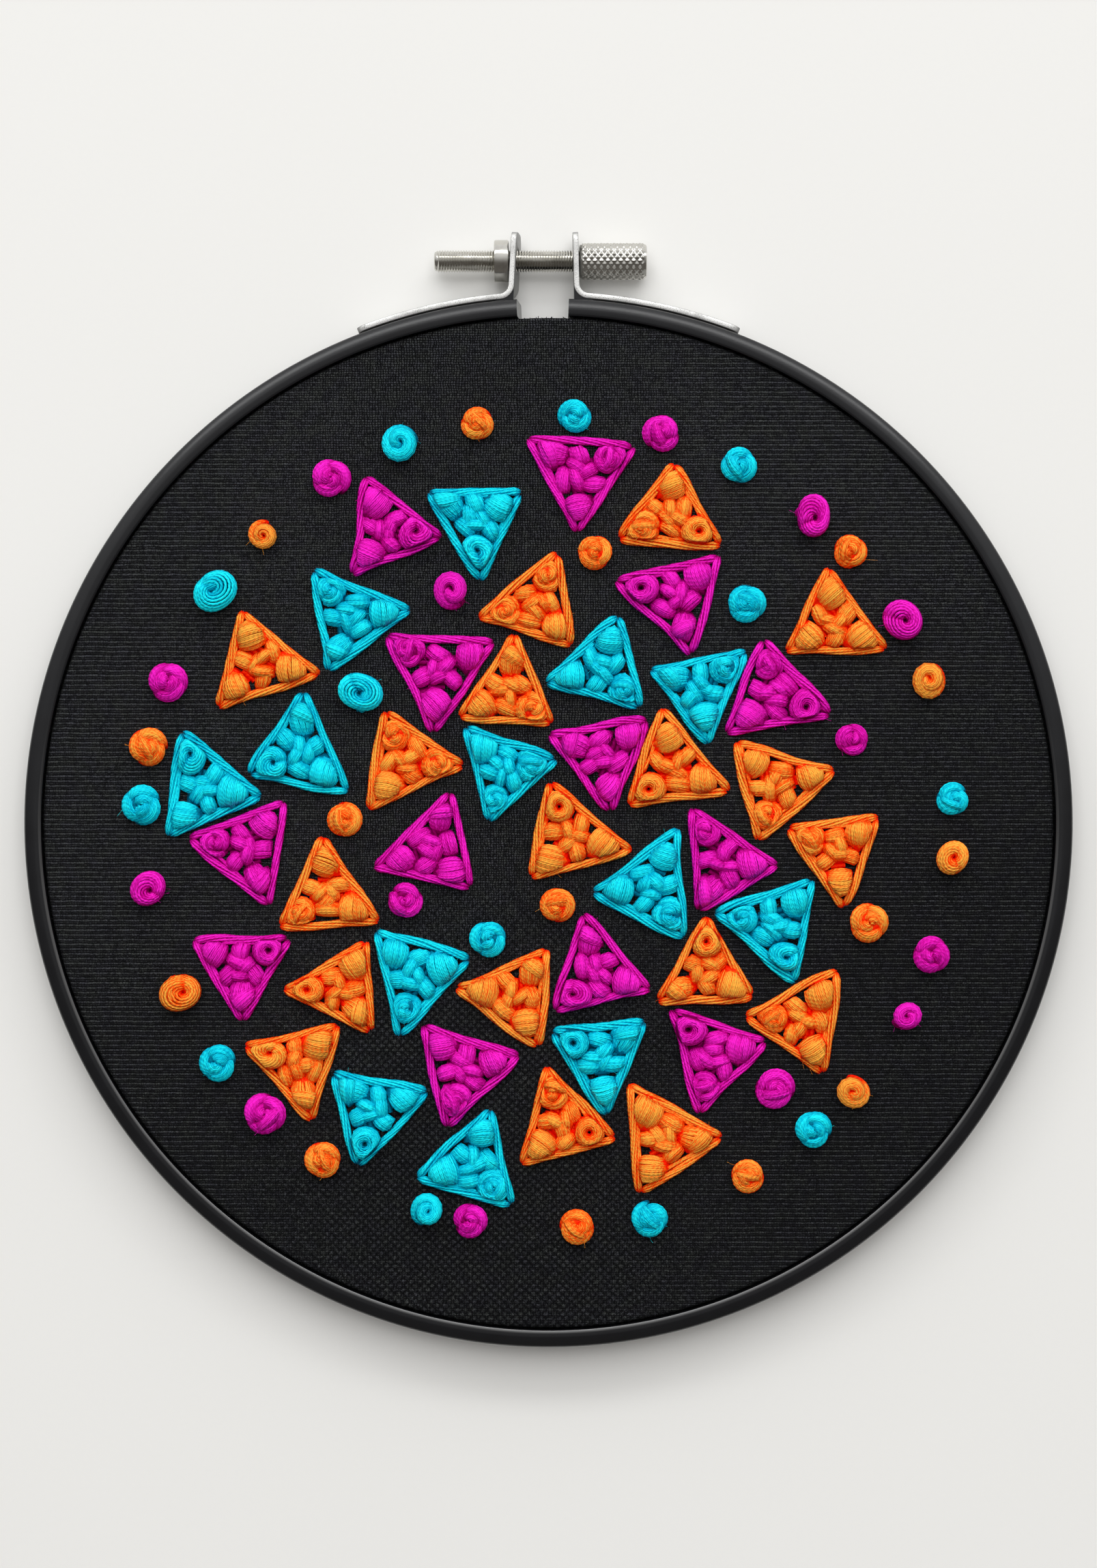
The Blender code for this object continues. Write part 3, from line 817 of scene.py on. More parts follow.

# %% [markdown]
# ## The ground cloth
#
# The cloth is a firm black weave, cut round and drawn over the inner ring. It is
# one sheet: a disc that is flat but for a faint pull towards the stitches, then a
# shoulder over the ring, then the margin that the rings grip. It is made as circles
# of points, and a Solidify modifier gives it its thickness.
#
# It is a plain weave, and the light shows it in three ways. Near the clamp it is an
# even mesh of small grey dots on black. At the sides it reads as rows, because
# every second row is much the stronger there, and its dots run together. In the
# near half the dots swell and fade along two slanting directions, so that it looks
# coarse. The finish draws dots in rows on the piece's own coordinates, blends the
# three ways by place as painted light, paints the dots brighter towards the clamp's
# side, where the light comes from, breaks the dots up with the fine grain of the
# fibres, and raises the surface a little with the same dots.

# %% Weave finish
ROW_PITCH, DOT_PITCH = 0.00043, 0.00047
ROW_DRIFT, DOT_DRIFT = 0.0040, 0.0016               # lengths over which they wander
SLUB_SIZE, FIBRE_SIZE = 0.0030, 0.00016
SIDES_SHIFT, SIDES_FROM, SIDES_FULLY = 0.012, 0.015, 0.055
NEAR_FROM, NEAR_FULLY = 0.0, -0.05                  # along y
COARSE_DOTS, COARSE_SLANT = 3.2, 0.3                # in dots, and in rows
WEAVE_BLACK = (0.0012, 0.0012, 0.0016)
WEAVE_COOL, WEAVE_WARM = (0.058, 0.060, 0.070), (0.056, 0.060, 0.058)


def ridge(wire):
    """0 in the middle between two whole numbers, and 1 at each whole number."""
    return wire.board.math("ABSOLUTE", wire.board.math("FRACT", wire) * 2 - 1)


def cell_chance(board, row, column):
    """A fixed random number for each cell of the weave."""
    return board.add("ShaderNodeTexWhiteNoise", {"noise_dimensions": "3D"},
                     {"Vector": board.vector(row, column, 0.5)})


def weave_finish():
    material, board, sockets = new_finish("black weave")
    place = coordinate(board)
    x, y, _ = board.parts(place)
    slub = grain(board, place, SLUB_SIZE, 3, 0.65)
    fibre = smooth(grain(board, place, FIBRE_SIZE, 1, 0.6), 0.25, 0.75)
    rows = y / ROW_PITCH + 0.7 * grain(board, place, ROW_DRIFT, 2, 0.6)
    row = board.math("FLOOR", rows)
    dots = x / DOT_PITCH + 2.0 * grain(board, board.vector(y, x, 0.3), DOT_DRIFT, 2, 0.6)
    sides = smooth(board.math("ABSOLUTE", x + SIDES_SHIFT), SIDES_FROM, SIDES_FULLY)
    dot = 1 - (1 - 0.55 * sides) * smooth(ridge(dots), 0.15, 1.0)
    body = dot * (1 - smooth(ridge(rows), 0.30, 1.0))
    bright = 0.35 + 1.1 * cell_chance(board, row, board.math("FLOOR", dots))
    strong = board.math("FLOORED_MODULO", row, 2.0)
    # painted light: the dots are brighter towards the clamp's side, where the light comes from,
    # and the row pattern is the light's too
    light_towards_clamp = smooth(y - 0.4 * x, -0.06, 0.04)
    light_on_rows = (0.62 + 0.55 * light_towards_clamp) * (1 - (0.30 + 0.45 * sides) * (1 - strong))
    rising = ridge(dots / COARSE_DOTS + rows * COARSE_SLANT)
    falling = ridge(dots / COARSE_DOTS - rows * COARSE_SLANT)
    swell = (1 - smooth(rising, 0.10, 0.95)) * (1 - smooth(falling, 0.10, 0.95))
    near = (1 - sides) * smooth(y, NEAR_FROM, NEAR_FULLY)
    body = body * (1 - 0.60 * near) + 0.80 * near * swell
    tone = (0.04 + 1.25 * body * bright * light_on_rows) * (0.15 + 1.7 * fibre * fibre)
    tone = tone * (0.6 + 0.8 * slub)
    lit = mix(board, smooth(slub, 0.35, 0.65), WEAVE_COOL, WEAVE_WARM)
    board.fill(sockets, {
        "Base Color": mix(board, tone, WEAVE_BLACK, lit),
        "Roughness": 0.92 - 0.2 * body,
        "Normal": bump(board, body + 0.5 * fibre, 0.00012, 0.6),
        "Specular IOR Level": 0.08,
        "Sheen Weight": 0.01})
    return material


print("weave rows every", 1000 * ROW_PITCH, "mm")

# %% Sheet of cloth
CLOTH_BODY = 0.00055         # the real cloth's thickness
CLOTH_RINGS = 26
CLOTH_SPOKES = 240
PULL_DEPTH, PULL_SIZE = 0.00006, 0.011              # of the pull towards the stitches
MARGIN_WAVE, MARGIN_WAVE_SIZE = 0.0003, 0.004       # of the margin's cut edge
MARGIN_STEPS = 5


def ground_cloth():
    rim = CLOTH_RADIUS - CLOTH_SHOULDER
    shape = bmesh.new()
    rows = [[shape.verts.new((0, 0, CLOTH_LEVEL))]]
    spots = [(rim * k / CLOTH_RINGS, CLOTH_LEVEL) for k in range(1, CLOTH_RINGS + 1)]
    spots += arc_points((rim, CLOTH_LEVEL - CLOTH_SHOULDER), (CLOTH_SHOULDER,) * 2, 72, 0, 4)
    low, high = CLOTH_TRIM + MARGIN_WAVE, CLOTH_LEVEL - CLOTH_SHOULDER
    spots += [(CLOTH_RADIUS, high + (low - high) * k / MARGIN_STEPS)
              for k in range(1, MARGIN_STEPS + 1)]
    for radius, height in spots:
        row = []
        for spoke in range(CLOTH_SPOKES):
            point = round_point(radius, math.tau * spoke / CLOTH_SPOKES, height)
            if height == CLOTH_LEVEL:
                point.z -= PULL_DEPTH * (1 + noise.noise(point / PULL_SIZE))
            if height == low:
                point.z -= MARGIN_WAVE * noise.noise(point / MARGIN_WAVE_SIZE)
            row.append(shape.verts.new(point))
        rows.append(row)
    for spoke in range(CLOTH_SPOKES):
        shape.faces.new((rows[0][0], rows[1][spoke], rows[1][(spoke + 1) % CLOTH_SPOKES]))
    for row, following in zip(rows[1:], rows[2:]):
        for k in range(CLOTH_SPOKES):
            after = (k + 1) % CLOTH_SPOKES
            shape.faces.new((row[k], following[k], following[after], row[after]))
    bmesh.ops.recalc_face_normals(shape, faces=shape.faces)
    cloth = new_piece("stretched_cloth", shape, weave_finish(),
                      place=CENTRE, sharp=180)
    if min(face.normal.z for face in cloth.data.polygons[:CLOTH_SPOKES]) < 0:
        cloth.data.flip_normals()
    body = cloth.modifiers.new("thickness", "SOLIDIFY")
    body.thickness = CLOTH_BODY
    body.offset = -1
    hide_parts("ground_cloth")
    return cloth


cloth = ground_cloth()
tell(cloth)

# %% [markdown]
# ## Where the motifs are
#
# The motifs are scattered by the same rule that placed their solids, with the same
# seed, so each triangle of thread falls on its own solid. A sunflower spiral of
# triangles and knots lies inside a belt of knots, and all of them are pushed apart
# until the cloth shows evenly between them.

# %% Scatter
TRIANGLE_COUNT = 44
INNER_KNOTS, OUTER_KNOTS = 11, 31
TRIANGLE_REACH = 0.0109
KNOT_RADIUS = 0.0034
KNOT_RISE = 0.0034
SCATTER_SEED = 8
SPIRAL_RADIUS = 0.0640
KNOT_BELT = 0.0725
STITCHED_RADIUS = 0.0765
MOTIF_SPACING = 0.0014
SPIRAL_TURN = math.pi * (3 - math.sqrt(5))
SPREAD_STEPS = 200
SPREAD_ENOUGH = 0.00008
SPREAD_PACE = 0.25
PUSH_LEVER = 0.6
INSCRIBED = 0.49
CORNER_DISCS = (0.5, 0.75, 0.92)
COLOURS = ("orange", "turquoise", "magenta")
TRIANGLE_SHARES = (18, 13, 13)
KNOT_SHARES = (15, 13, 14)


def new_motif(rng, x, y, is_knot):
    """A knot, or a triangle whose corners stray a little from an even one."""
    size = KNOT_RADIUS * rng.uniform(0.85, 1.14)
    corners = []
    if not is_knot:
        size = TRIANGLE_REACH * rng.uniform(0.95, 1.04)
        for corner in range(3):
            bearing = math.tau * corner / 3 + rng.uniform(-0.1, 0.1)
            corners.append((bearing, size * rng.uniform(0.95, 1.05)))
    turn = rng.uniform(0, math.tau)
    return {"x": x, "y": y, "turn": turn, "size": size, "corners": corners}


def motif_discs(motif):
    """Discs that fill a motif's outline, each as x, y and radius."""
    if not motif["corners"]:
        return [(motif["x"], motif["y"], motif["size"])]
    discs = [(motif["x"], motif["y"], INSCRIBED * motif["size"])]
    for bearing, reach in motif["corners"]:
        for along in CORNER_DISCS:
            x = motif["x"] + along * reach * math.cos(motif["turn"] + bearing)
            y = motif["y"] + along * reach * math.sin(motif["turn"] + bearing)
            discs.append((x, y, 0.5 * (1 - along) * motif["size"]))
    return discs


def push(motif, disc, dx, dy):
    """Note a shove at one disc, which moves the motif and turns it."""
    lever = (PUSH_LEVER * motif["size"]) ** 2
    motif["shift"][0] += dx
    motif["shift"][1] += dy
    arm_x, arm_y = disc[0] - motif["x"], disc[1] - motif["y"]
    motif["shift"][2] += (arm_x * dy - arm_y * dx) / lever


def spread_once(motifs):
    """Move crowded motifs a step apart in the stitched field, and say how crowded they were."""
    crowding = 0.0
    for motif in motifs:
        motif["shift"] = [0.0, 0.0, 0.0]
        motif["discs"] = motif_discs(motif)
    for index, first in enumerate(motifs):
        for second in motifs[:index]:
            centres = math.hypot(first["x"] - second["x"], first["y"] - second["y"])
            if centres > first["size"] + second["size"] + 2 * MOTIF_SPACING:
                continue
            for one in first["discs"]:
                for other in second["discs"]:
                    dx, dy = one[0] - other[0], one[1] - other[1]
                    apart = math.hypot(dx, dy)
                    missing = max(0.0, one[2] + other[2] + MOTIF_SPACING - apart)
                    crowding = max(crowding, missing)
                    share = SPREAD_PACE * missing / apart
                    push(first, one, dx * share, dy * share)
                    push(second, other, -dx * share, -dy * share)
        for disc in first["discs"]:
            out = math.hypot(disc[0], disc[1])
            share = 2 * SPREAD_PACE * max(0, out + disc[2] - STITCHED_RADIUS) / out
            push(first, disc, -disc[0] * share, -disc[1] * share)
    for motif in motifs:
        motif["x"] += motif["shift"][0]
        motif["y"] += motif["shift"][1]
        if motif["corners"]:
            motif["turn"] += motif["shift"][2]
    return crowding


def colour_motifs(motifs, shares):
    """Give each motif the colour that is rarest around it."""
    left = dict(zip(COLOURS, shares))
    for motif in motifs:
        motif["place"] = (motif["x"], motif["y"])

        def crowding(colour):
            if not left[colour]:
                return math.inf
            near = sum(math.exp(-math.dist(motif["place"], other["place"]) / TRIANGLE_REACH)
                       for other in motifs if other.get("colour") == colour)
            return near / left[colour]
        motif["colour"] = min(COLOURS, key=crowding)
        left[motif["colour"]] -= 1


def scatter_motifs():
    """A sunflower spiral of triangles and knots in a belt of knots, spread evenly."""
    rng = random.Random(SCATTER_SEED)
    motifs = []
    inner = TRIANGLE_COUNT + INNER_KNOTS
    for index in range(inner):
        radius = SPIRAL_RADIUS * math.sqrt((index + 0.5) / inner)
        place = round_point(radius, index * SPIRAL_TURN, 0)
        motifs.append(new_motif(rng, place.x, place.y, index % 5 == 2))
    for index in range(OUTER_KNOTS):
        angle = math.tau * (index + rng.uniform(0.2, 0.8)) / OUTER_KNOTS
        place = round_point(KNOT_BELT, angle, 0)
        motifs.append(new_motif(rng, place.x, place.y, True))
    for _ in range(SPREAD_STEPS):
        if spread_once(motifs) < SPREAD_ENOUGH:
            break
    triangles = [motif for motif in motifs if motif["corners"]]
    knots = [motif for motif in motifs if not motif["corners"]]
    colour_motifs(triangles, TRIANGLE_SHARES)
    colour_motifs(knots, KNOT_SHARES)
    return triangles, knots


triangles, knots = scatter_motifs()
print(len(triangles), "triangles and", len(knots), "knots")

# %% [markdown]
# ## Floss
#
# Stranded cotton floss is six fine threads that lie side by side. The stitches are
# built from such threads: each is a line of points with a thickness and a tone, and
# one tree of geometry nodes sweeps a small round section along all the lines at
# once. The tree also stores how far along the thread and how far round it each
# corner lies, which the finish reads to draw the thread's own twist.

# %% Floss tree
THREAD_RADIUS = 0.00023
THREAD_PITCH = 0.00036
THREAD_SEAM = 2e-7
MAP_SCALE = 100              # a thread's map counts its length in centimetres


def stored(board, geometry, name, value, kind="FLOAT", domain="POINT"):
    return board.add("GeometryNodeStoreNamedAttribute", {"data_type": kind, "domain": domain},
                     {"Geometry": geometry, "Name": name, "Value": value})


def recalled(board, name):
    return board.add("GeometryNodeInputNamedAttribute", {"data_type": "FLOAT"}, {"Name": name})


def floss_tree():
    tree, board, wires = new_tree("floss", (
        ("Geometry", "Geometry"), ("Sides", "Int"), ("Thickness", "Float"),
        ("Material", "Material")))
    lines = board.add("GeometryNodeMeshToCurve", {}, {"Mesh": wires["Geometry"]})
    section = board.add("GeometryNodeCurveArc", {}, {
        "Resolution": wires["Sides"] + 1, "Radius": 1.0, "Start Angle": 0.0,
        "Sweep Angle": math.tau})
    length = board.add("GeometryNodeSplineParameter", {}, {}, "Length")
    turn = board.add("GeometryNodeSplineParameter", {}, {}, "Factor")
    swept = board.add("GeometryNodeCurveToMesh", {}, {
        "Curve": stored(board, lines, "thread_along", length),
        "Profile Curve": stored(board, section, "thread_around", turn),
        "Scale": recalled(board, "thread_radius") * wires["Thickness"], "Fill Caps": False})
    layout = board.vector(recalled(board, "thread_along") * MAP_SCALE,
                          recalled(board, "thread_around"), 0.0)
    mapped = stored(board, swept, "thread_map", layout, "FLOAT2", "CORNER")
    joined = board.add("GeometryNodeMergeByDistance", {}, {
        "Geometry": mapped, "Distance": THREAD_SEAM})
    # the upward share of each normal, for the finish's painted shade on threads that face down
    upward = board.parts(board.add("GeometryNodeInputNormal", {}, {}))[2]
    end_tree(board, stored(board, joined, "upward", upward), wires["Material"])
    return tree


FLOSS = floss_tree()
print("tree:", FLOSS.name, len(FLOSS.nodes), "nodes")

# %% [markdown]
# The cotton is mercerised, so it has a silky gloss. The finish paints light and shade
# into the colour. It mixes a deep colour, which is painted shade standing for the light
# thrown from thread to thread in the hollows, a true colour, and a light colour for
# painted highlights, by each thread's tone and by fine streaks along it, which are
# painted glints. It is painted darker where a thread lies deep between its neighbours,
# meets the cloth or faces down, and painted lighter on the crests. Two plies twist round
# each other, which shows as slanting ribs in the bump and as painted glints along them.

# %% Floss finishes
DYES = {                     # painted shadow colour, true colour, and light colour for painted highlights and the gloss
    "orange": ((0.95, 0.004, 0.0003), (1.0, 0.078, 0.002), (1.0, 0.45, 0.06)),
    "turquoise": ((0.001, 0.13, 0.24), (0.001, 0.445, 0.66), (0.012, 0.90, 1.0)),
    "magenta": ((0.22, 0.0004, 0.08), (0.55, 0.002, 0.275), (1.0, 0.02, 0.66)),
}
PLY_PITCH = 0.0008
STREAKS_ALONG, STREAKS_AROUND, STREAKS_APART = 1300, 7, 50
FOOT_HEIGHT = 0.0009         # how far up from the cloth a stitch gets painted shade


def noted(board, name):
    """A number that the mesh carries at each point."""
    return board.add("ShaderNodeAttribute", {"attribute_name": name}, {}, "Fac")


def floss_finish(colour):
    shadow_colour, true, light = DYES[colour]
    material, board, sockets = new_finish(colour + " floss")
    along, around, _ = board.parts(board.add("ShaderNodeUVMap", {"uv_map": "thread_map"}, {}))
    along = along / MAP_SCALE
    tone = noted(board, "tone")
    # the ply ribs: real relief in the bump, and painted glints along them in the colour
    twist = board.math("SINE", (along / PLY_PITCH + around * 2) * math.tau) * 0.5 + 0.5
    streak = grain(board, board.vector(along * STREAKS_ALONG, around * STREAKS_AROUND,
                                       tone * STREAKS_APART), 1.0, 2, 0.6)
    # painted glints: bright dashes along the fine streaks
    glint = smooth(streak, 0.35, 0.65)
    # painted shade on each thread's sides and underside, by how far its normal turns from up
    facing_down_shade = 1 - smooth(noted(board, "upward"), -0.2, 0.85)
    depth = noted(board, "sunk")                    # in mm
    # painted shade where a thread lies below the threads around it, and painted highlight where
    # it stands above them
    sunk, crest_highlight = smooth(depth, 0.0, 0.8), 1 - smooth(depth, -1.3, 0.1)
    height = board.parts(coordinate(board))[2] - CLOTH_LEVEL
    # painted shade low down, where a stitch meets the cloth
    foot_shade = 1 - smooth(board.math("ABSOLUTE", height), 0.0, FOOT_HEIGHT)
    shade = (0.28 * tone + 0.22 * glint + 0.11 * twist + 0.20 * crest_highlight + 0.24
             - 0.30 * facing_down_shade - 0.25 * foot_shade - 1.00 * sunk)
    low = mix(board, smooth(shade, -0.05, 0.40), shadow_colour, true)
    board.fill(sockets, {
        "Base Color": mix(board, smooth(shade, 0.42, 0.85), low, light),
        "Roughness": 0.36 + 0.15 * streak,
        "Normal": bump(board, twist + 1.2 * streak, 0.00007, 0.7),
        "Specular IOR Level": 0.8, "Specular Tint": (*light, 1),
        "Sheen Weight": 0.05, "Sheen Roughness": 0.4, "Sheen Tint": (*light, 1)})
    return material


FLOSS_FINISH = {colour: floss_finish(colour) for colour in COLOURS}
print("dyes:", list(FLOSS_FINISH))

# %% [markdown]
# ## Stitches
#
# A few shapes make all the motifs. A *bundle* is a swelling with threads side by
# side over it, gathered where it enters the cloth. On a straight line it is one
# satin stitch of a padded filling. On a line that winds round a dome it is a wrap of
# floss, and wraps make the knots that look like a rosette or a small turban. A
# *rope* is a few threads that twist round each other: the long stitches of an
# outline, or, bent to a ring, a knot. A *coil* is thread wound round and round up a
# dome and down into its middle. Thick hidden threads fill the inside of each, so
# that no cloth shows between the threads on top.
#
# Chance makes each stitch a little different, from a seed of the motif's own. Most
# bare numbers below are shares of a stitch's length, radius or height, or the limits
# of such a draw.

# %% Bundle
DIVE = 0.00045               # how far a thread's ends go into the cloth
UP = Vector((0, 0, 1))
BUNDLE_STEPS = 8
FULL_STITCH = 1.6 * MM       # a stitch whose half width is more has three cores


class Dice(random.Random):
    """Seeded chance, with the draws that stitches need."""

    def around(self, reach):
        return self.uniform(-reach, reach)

    def bearing(self):
        return self.uniform(0, math.tau)

    def side(self):
        return self.choice((-1, 1))

    def mm(self, low, high):
        return self.uniform(low, high) * MM


def thread(dice, points, thinnest, thickest, dullest):
    """A strand of about a thread's thickness: its points, its radius and its tone."""
    radius = THREAD_RADIUS * dice.uniform(thinnest, thickest)
    return points, radius, dice.uniform(dullest, 1)


def beside(run):
    """The level direction to the left of a run."""
    return Vector((-run.y, run.x, 0))


def bundle(dice, line, half_width, height, ends=(0.45, 0.45), spread=1.25, twist=0.0,
           plump=0.55, steps=BUNDLE_STEPS):
    """Threads side by side over a swelling that follows a line."""
    girth = math.pi * math.sqrt((half_width ** 2 + height ** 2) / 2)
    count = max(3, round(girth * spread / (math.pi / 2) / THREAD_PITCH))
    strands = []

    def over(bearing, share, fill):
        swell = math.sin(math.pi * share)
        gather = ends[0] + (ends[1] - ends[0]) * share
        wide = half_width * fill * (gather + (1 - gather) * max(0, swell) ** 0.7)
        tall = height * fill * max(0, swell) ** plump
        run = (line(min(1, share + 0.02)) - line(max(0, share - 0.02))).to_2d().normalized()
        point = line(share) + beside(run) * wide * math.sin(bearing)
        point.z += tall * math.cos(bearing) - DIVE * (1 - swell) ** 5
        return point
    shares = [0.5 - 0.5 * math.cos(math.pi * step / steps) for step in range(steps + 1)]
    for k in range(count):
        bearing = spread * ((2 * k + 1) / count - 1) + dice.gauss(0, 0.10 * 2 * spread / count)
        drift = twist + dice.gauss(0, 0.9 * spread / count)
        tall = dice.uniform(0.97, 1.03)
        points = [over(bearing + drift * (share - 0.5), share, tall) for share in shares]
        strands.append(thread(dice, points, 0.92, 1.08, 0.2))
    cores = 3 if half_width > FULL_STITCH else 1
    for k in range(cores):
        bearing = 0.75 * (k - (cores - 1) / 2)
        points = [over(bearing, share, 0.52) for share in shares[::2]]
        strands.append((points, 0.42 * min(half_width, height), 0.1))
    return strands


def satin(dice, centre, direction, half_length, lift, bow, half_width, height, **more):
    """A bundle on a straight line through a centre, which may bow sideways."""
    run = round_point(1, direction)

    def line(share):
        return (centre + run * half_length * (2 * share - 1)
                + beside(run) * bow * math.sin(math.pi * share) + UP * lift)
    return bundle(dice, line, half_width, height, **more)


print("bundle steps:", BUNDLE_STEPS)

# %% Rope and coil
ROPE_STEPS = 11
COIL_STEPS = 16
COIL_PIT, COIL_CREST = 0.16, 0.56                   # shares of a coil's radius
COIL_SLACK = 0.00005
QUARTER = math.pi / 2
ROPE_FOOT = 0.8 * MM         # over which a rope rises from the cloth
ROPE_RIPPLE = 0.12
RING_THREADS, RING_PATH_STEPS = 16, 24


def rope(dice, start, end, bend, width, threads, turns, lift=0.0):
    """Threads that twist round each other in one long stitch."""
    run = end - start
    across = beside(run).normalized()
    first = dice.bearing()
    ripple, ripple_start = dice.uniform(0.5, 1.0) * ROPE_RIPPLE * MM, dice.bearing()
    strands = []
    for k in range(threads + 1):
        core = k == threads
        points = []
        stray = dice.around(0.3)
        for step in range(ROPE_STEPS + 1):
            share = 0.5 - 0.5 * math.cos(math.pi * step / ROPE_STEPS)
            share = 0.35 * share + 0.65 * step / ROPE_STEPS
            edge = min(1, min(share, 1 - share) * run.length / ROPE_FOOT)
            angle = first + math.tau * (k / threads + turns * share) + stray * share
            ring = 0 if core else (width / 2 - 1.2 * THREAD_RADIUS) * (0.6 + 0.4 * edge)
            sway = bend(share) + ripple * math.sin(9 * share + ripple_start)
            centre = start + run * share + across * sway
            centre.z = ((0.30 * width + THREAD_RADIUS + lift) * edge ** 0.5
                        - DIVE * (1 - edge) ** 2)
            points.append(centre + across * ring * math.cos(angle)
                          + UP * 0.72 * ring * math.sin(angle))
        radius = THREAD_RADIUS * dice.uniform(1.12, 1.28)
        strands.append((points, radius, 0.2 if core else dice.uniform(0.5, 1)))
    return strands


def core_ring(centre, reach, level, radius, tone=0.1):
    """A thick hidden thread in a ring, which fills the inside of a knot."""
    points = [centre + round_point(reach, math.tau * k / 10, level) for k in range(11)]
    return points, radius, tone


def coil(dice, centre, radius, height, starts):
    """Thread wound up a dome from its foot and down into a pit off its middle."""
    crest_radius, pit_radius = COIL_CREST * radius, COIL_PIT * radius
    drop = dice.uniform(0.40, 0.62) * height
    outer = 1.57 * math.sqrt(((radius - crest_radius) ** 2 + height ** 2) / 2)
    inner = 1.57 * math.sqrt(((crest_radius - pit_radius) ** 2 + drop ** 2) / 2)
    turns = 0.93 * (outer + inner) / THREAD_PITCH
    middle = Vector((dice.around(1), dice.around(1), 0)) * 0.14 * radius
    oval, oval_start = dice.uniform(0.02, 0.09), dice.bearing()
    tilt, tilt_start = dice.uniform(0.0, 0.10), dice.bearing()
    spin = dice.side()
    strands = []
    for k in range(starts):
        first = math.tau * k / starts + dice.around(0.2)
        count = round(turns / starts * COIL_STEPS)
        sway = dice.bearing()
        points = []
        for step in range(count + 1):
            share = step / count
            path = share * (outer + inner)
            angle = first + spin * math.tau * turns / starts * share
            slack = COIL_SLACK * math.sin(3.7 * angle + sway)
            if path < outer:
                bearing = (1 - path / outer) * QUARTER
                reach = crest_radius + (radius - crest_radius) * math.sin(bearing)
                level = height * math.cos(bearing)
            else:
                bearing = (path - outer) / inner * QUARTER
                reach = crest_radius - (crest_radius - pit_radius) * math.sin(bearing)
                level = height - drop * (1 - math.cos(bearing))
            reach *= 1 + oval * math.sin(2 * angle + oval_start)
            level *= 1 + tilt * math.sin(angle + tilt_start)
            inward = 1 - min(1, reach / radius)
            point = centre + middle * inward + round_point(reach + slack, angle)
            point.z = centre.z + level - (DIVE if step == 0 else 0)
            points.append(point)
        strands.append(thread(dice, points, 0.95, 1.06, 0.3))
    return strands + [core_ring(centre, 0.52 * radius, 0.42 * height, 0.40 * radius)]


def rosette(dice, centre, radius, height):
    """A thick wrap of floss that winds round a dome and in to its middle."""
    spin, first = dice.side(), dice.bearing()
    sweep = math.tau * dice.uniform(1.5, 2.1)
    middle = round_point(dice.uniform(0.05, 0.22) * radius, dice.bearing())
    oval, oval_start = dice.uniform(0.04, 0.12), dice.bearing()

    def line(share):
        angle = first + spin * sweep * share
        reach = radius * (0.78 - 0.66 * share ** 1.15)
        reach *= 1 + oval * math.sin(2 * angle + oval_start)
        point = centre + middle * share + round_point(reach, angle)
        point.z += 0.58 * height * min(1, 2.2 * share) * (1 - 0.35 * max(0, share - 0.6))
        return point
    strands = bundle(dice, line, 0.34 * radius, 0.46 * height, (0.35, 0.4), 1.5,
                     dice.around(0.6), plump=0.30, steps=36)
    return strands + [core_ring(centre, 0.40 * radius, 0.34 * height, 0.36 * radius)]


def twisted_ring(dice, centre, radius, height):
    """A thick rope of floss bent to a ring, with its threads slanting a little round it."""
    spin, first = dice.side(), dice.bearing()
    slant = dice.uniform(0.15, 0.6) * dice.side()
    middle = round_point(dice.uniform(0.08, 0.25) * radius, dice.bearing())
    oval, oval_start = dice.uniform(0.06, 0.15), dice.bearing()
    strands = []
    for k in range(RING_THREADS):
        points = []
        for step in range(RING_PATH_STEPS + 1):
            turn = math.tau * 1.04 * step / RING_PATH_STEPS
            ply = math.tau * k / RING_THREADS + slant * turn
            reach = (0.57 + 0.43 * math.cos(ply)) * radius
            end = 1 - min(1, min(step, RING_PATH_STEPS - step) / 2)
            point = centre + middle * (1 - reach / radius) + round_point(
                reach * (1 + oval * math.sin(2 * turn + oval_start)), first + spin * turn)
            point.z += (0.48 + 0.50 * math.sin(ply)) * height - end * 0.3 * height
            points.append(point)
        strands.append(thread(dice, points, 1.28, 1.45, 0.2))
    return strands + [core_ring(centre, 0.45 * radius, 0.40 * height, 0.36 * radius, 0.3)]


def wrap(dice, centre, radius, start, sweep, reach, rise, size, steps):
    """One thick wrap round a dome: a bundle on an arc whose reach and rise change."""
    def line(share):
        at = radius * (reach[0] + (reach[1] - reach[0]) * share)
        level = rise[0] + (rise[1] - rise[0]) * share
        return centre + round_point(at, start + sweep * share, level)
    ends = (dice.uniform(0.35, 0.55), dice.uniform(0.3, 0.5))
    return bundle(dice, line, *size, ends, 1.4, dice.around(0.5), plump=0.42, steps=steps)


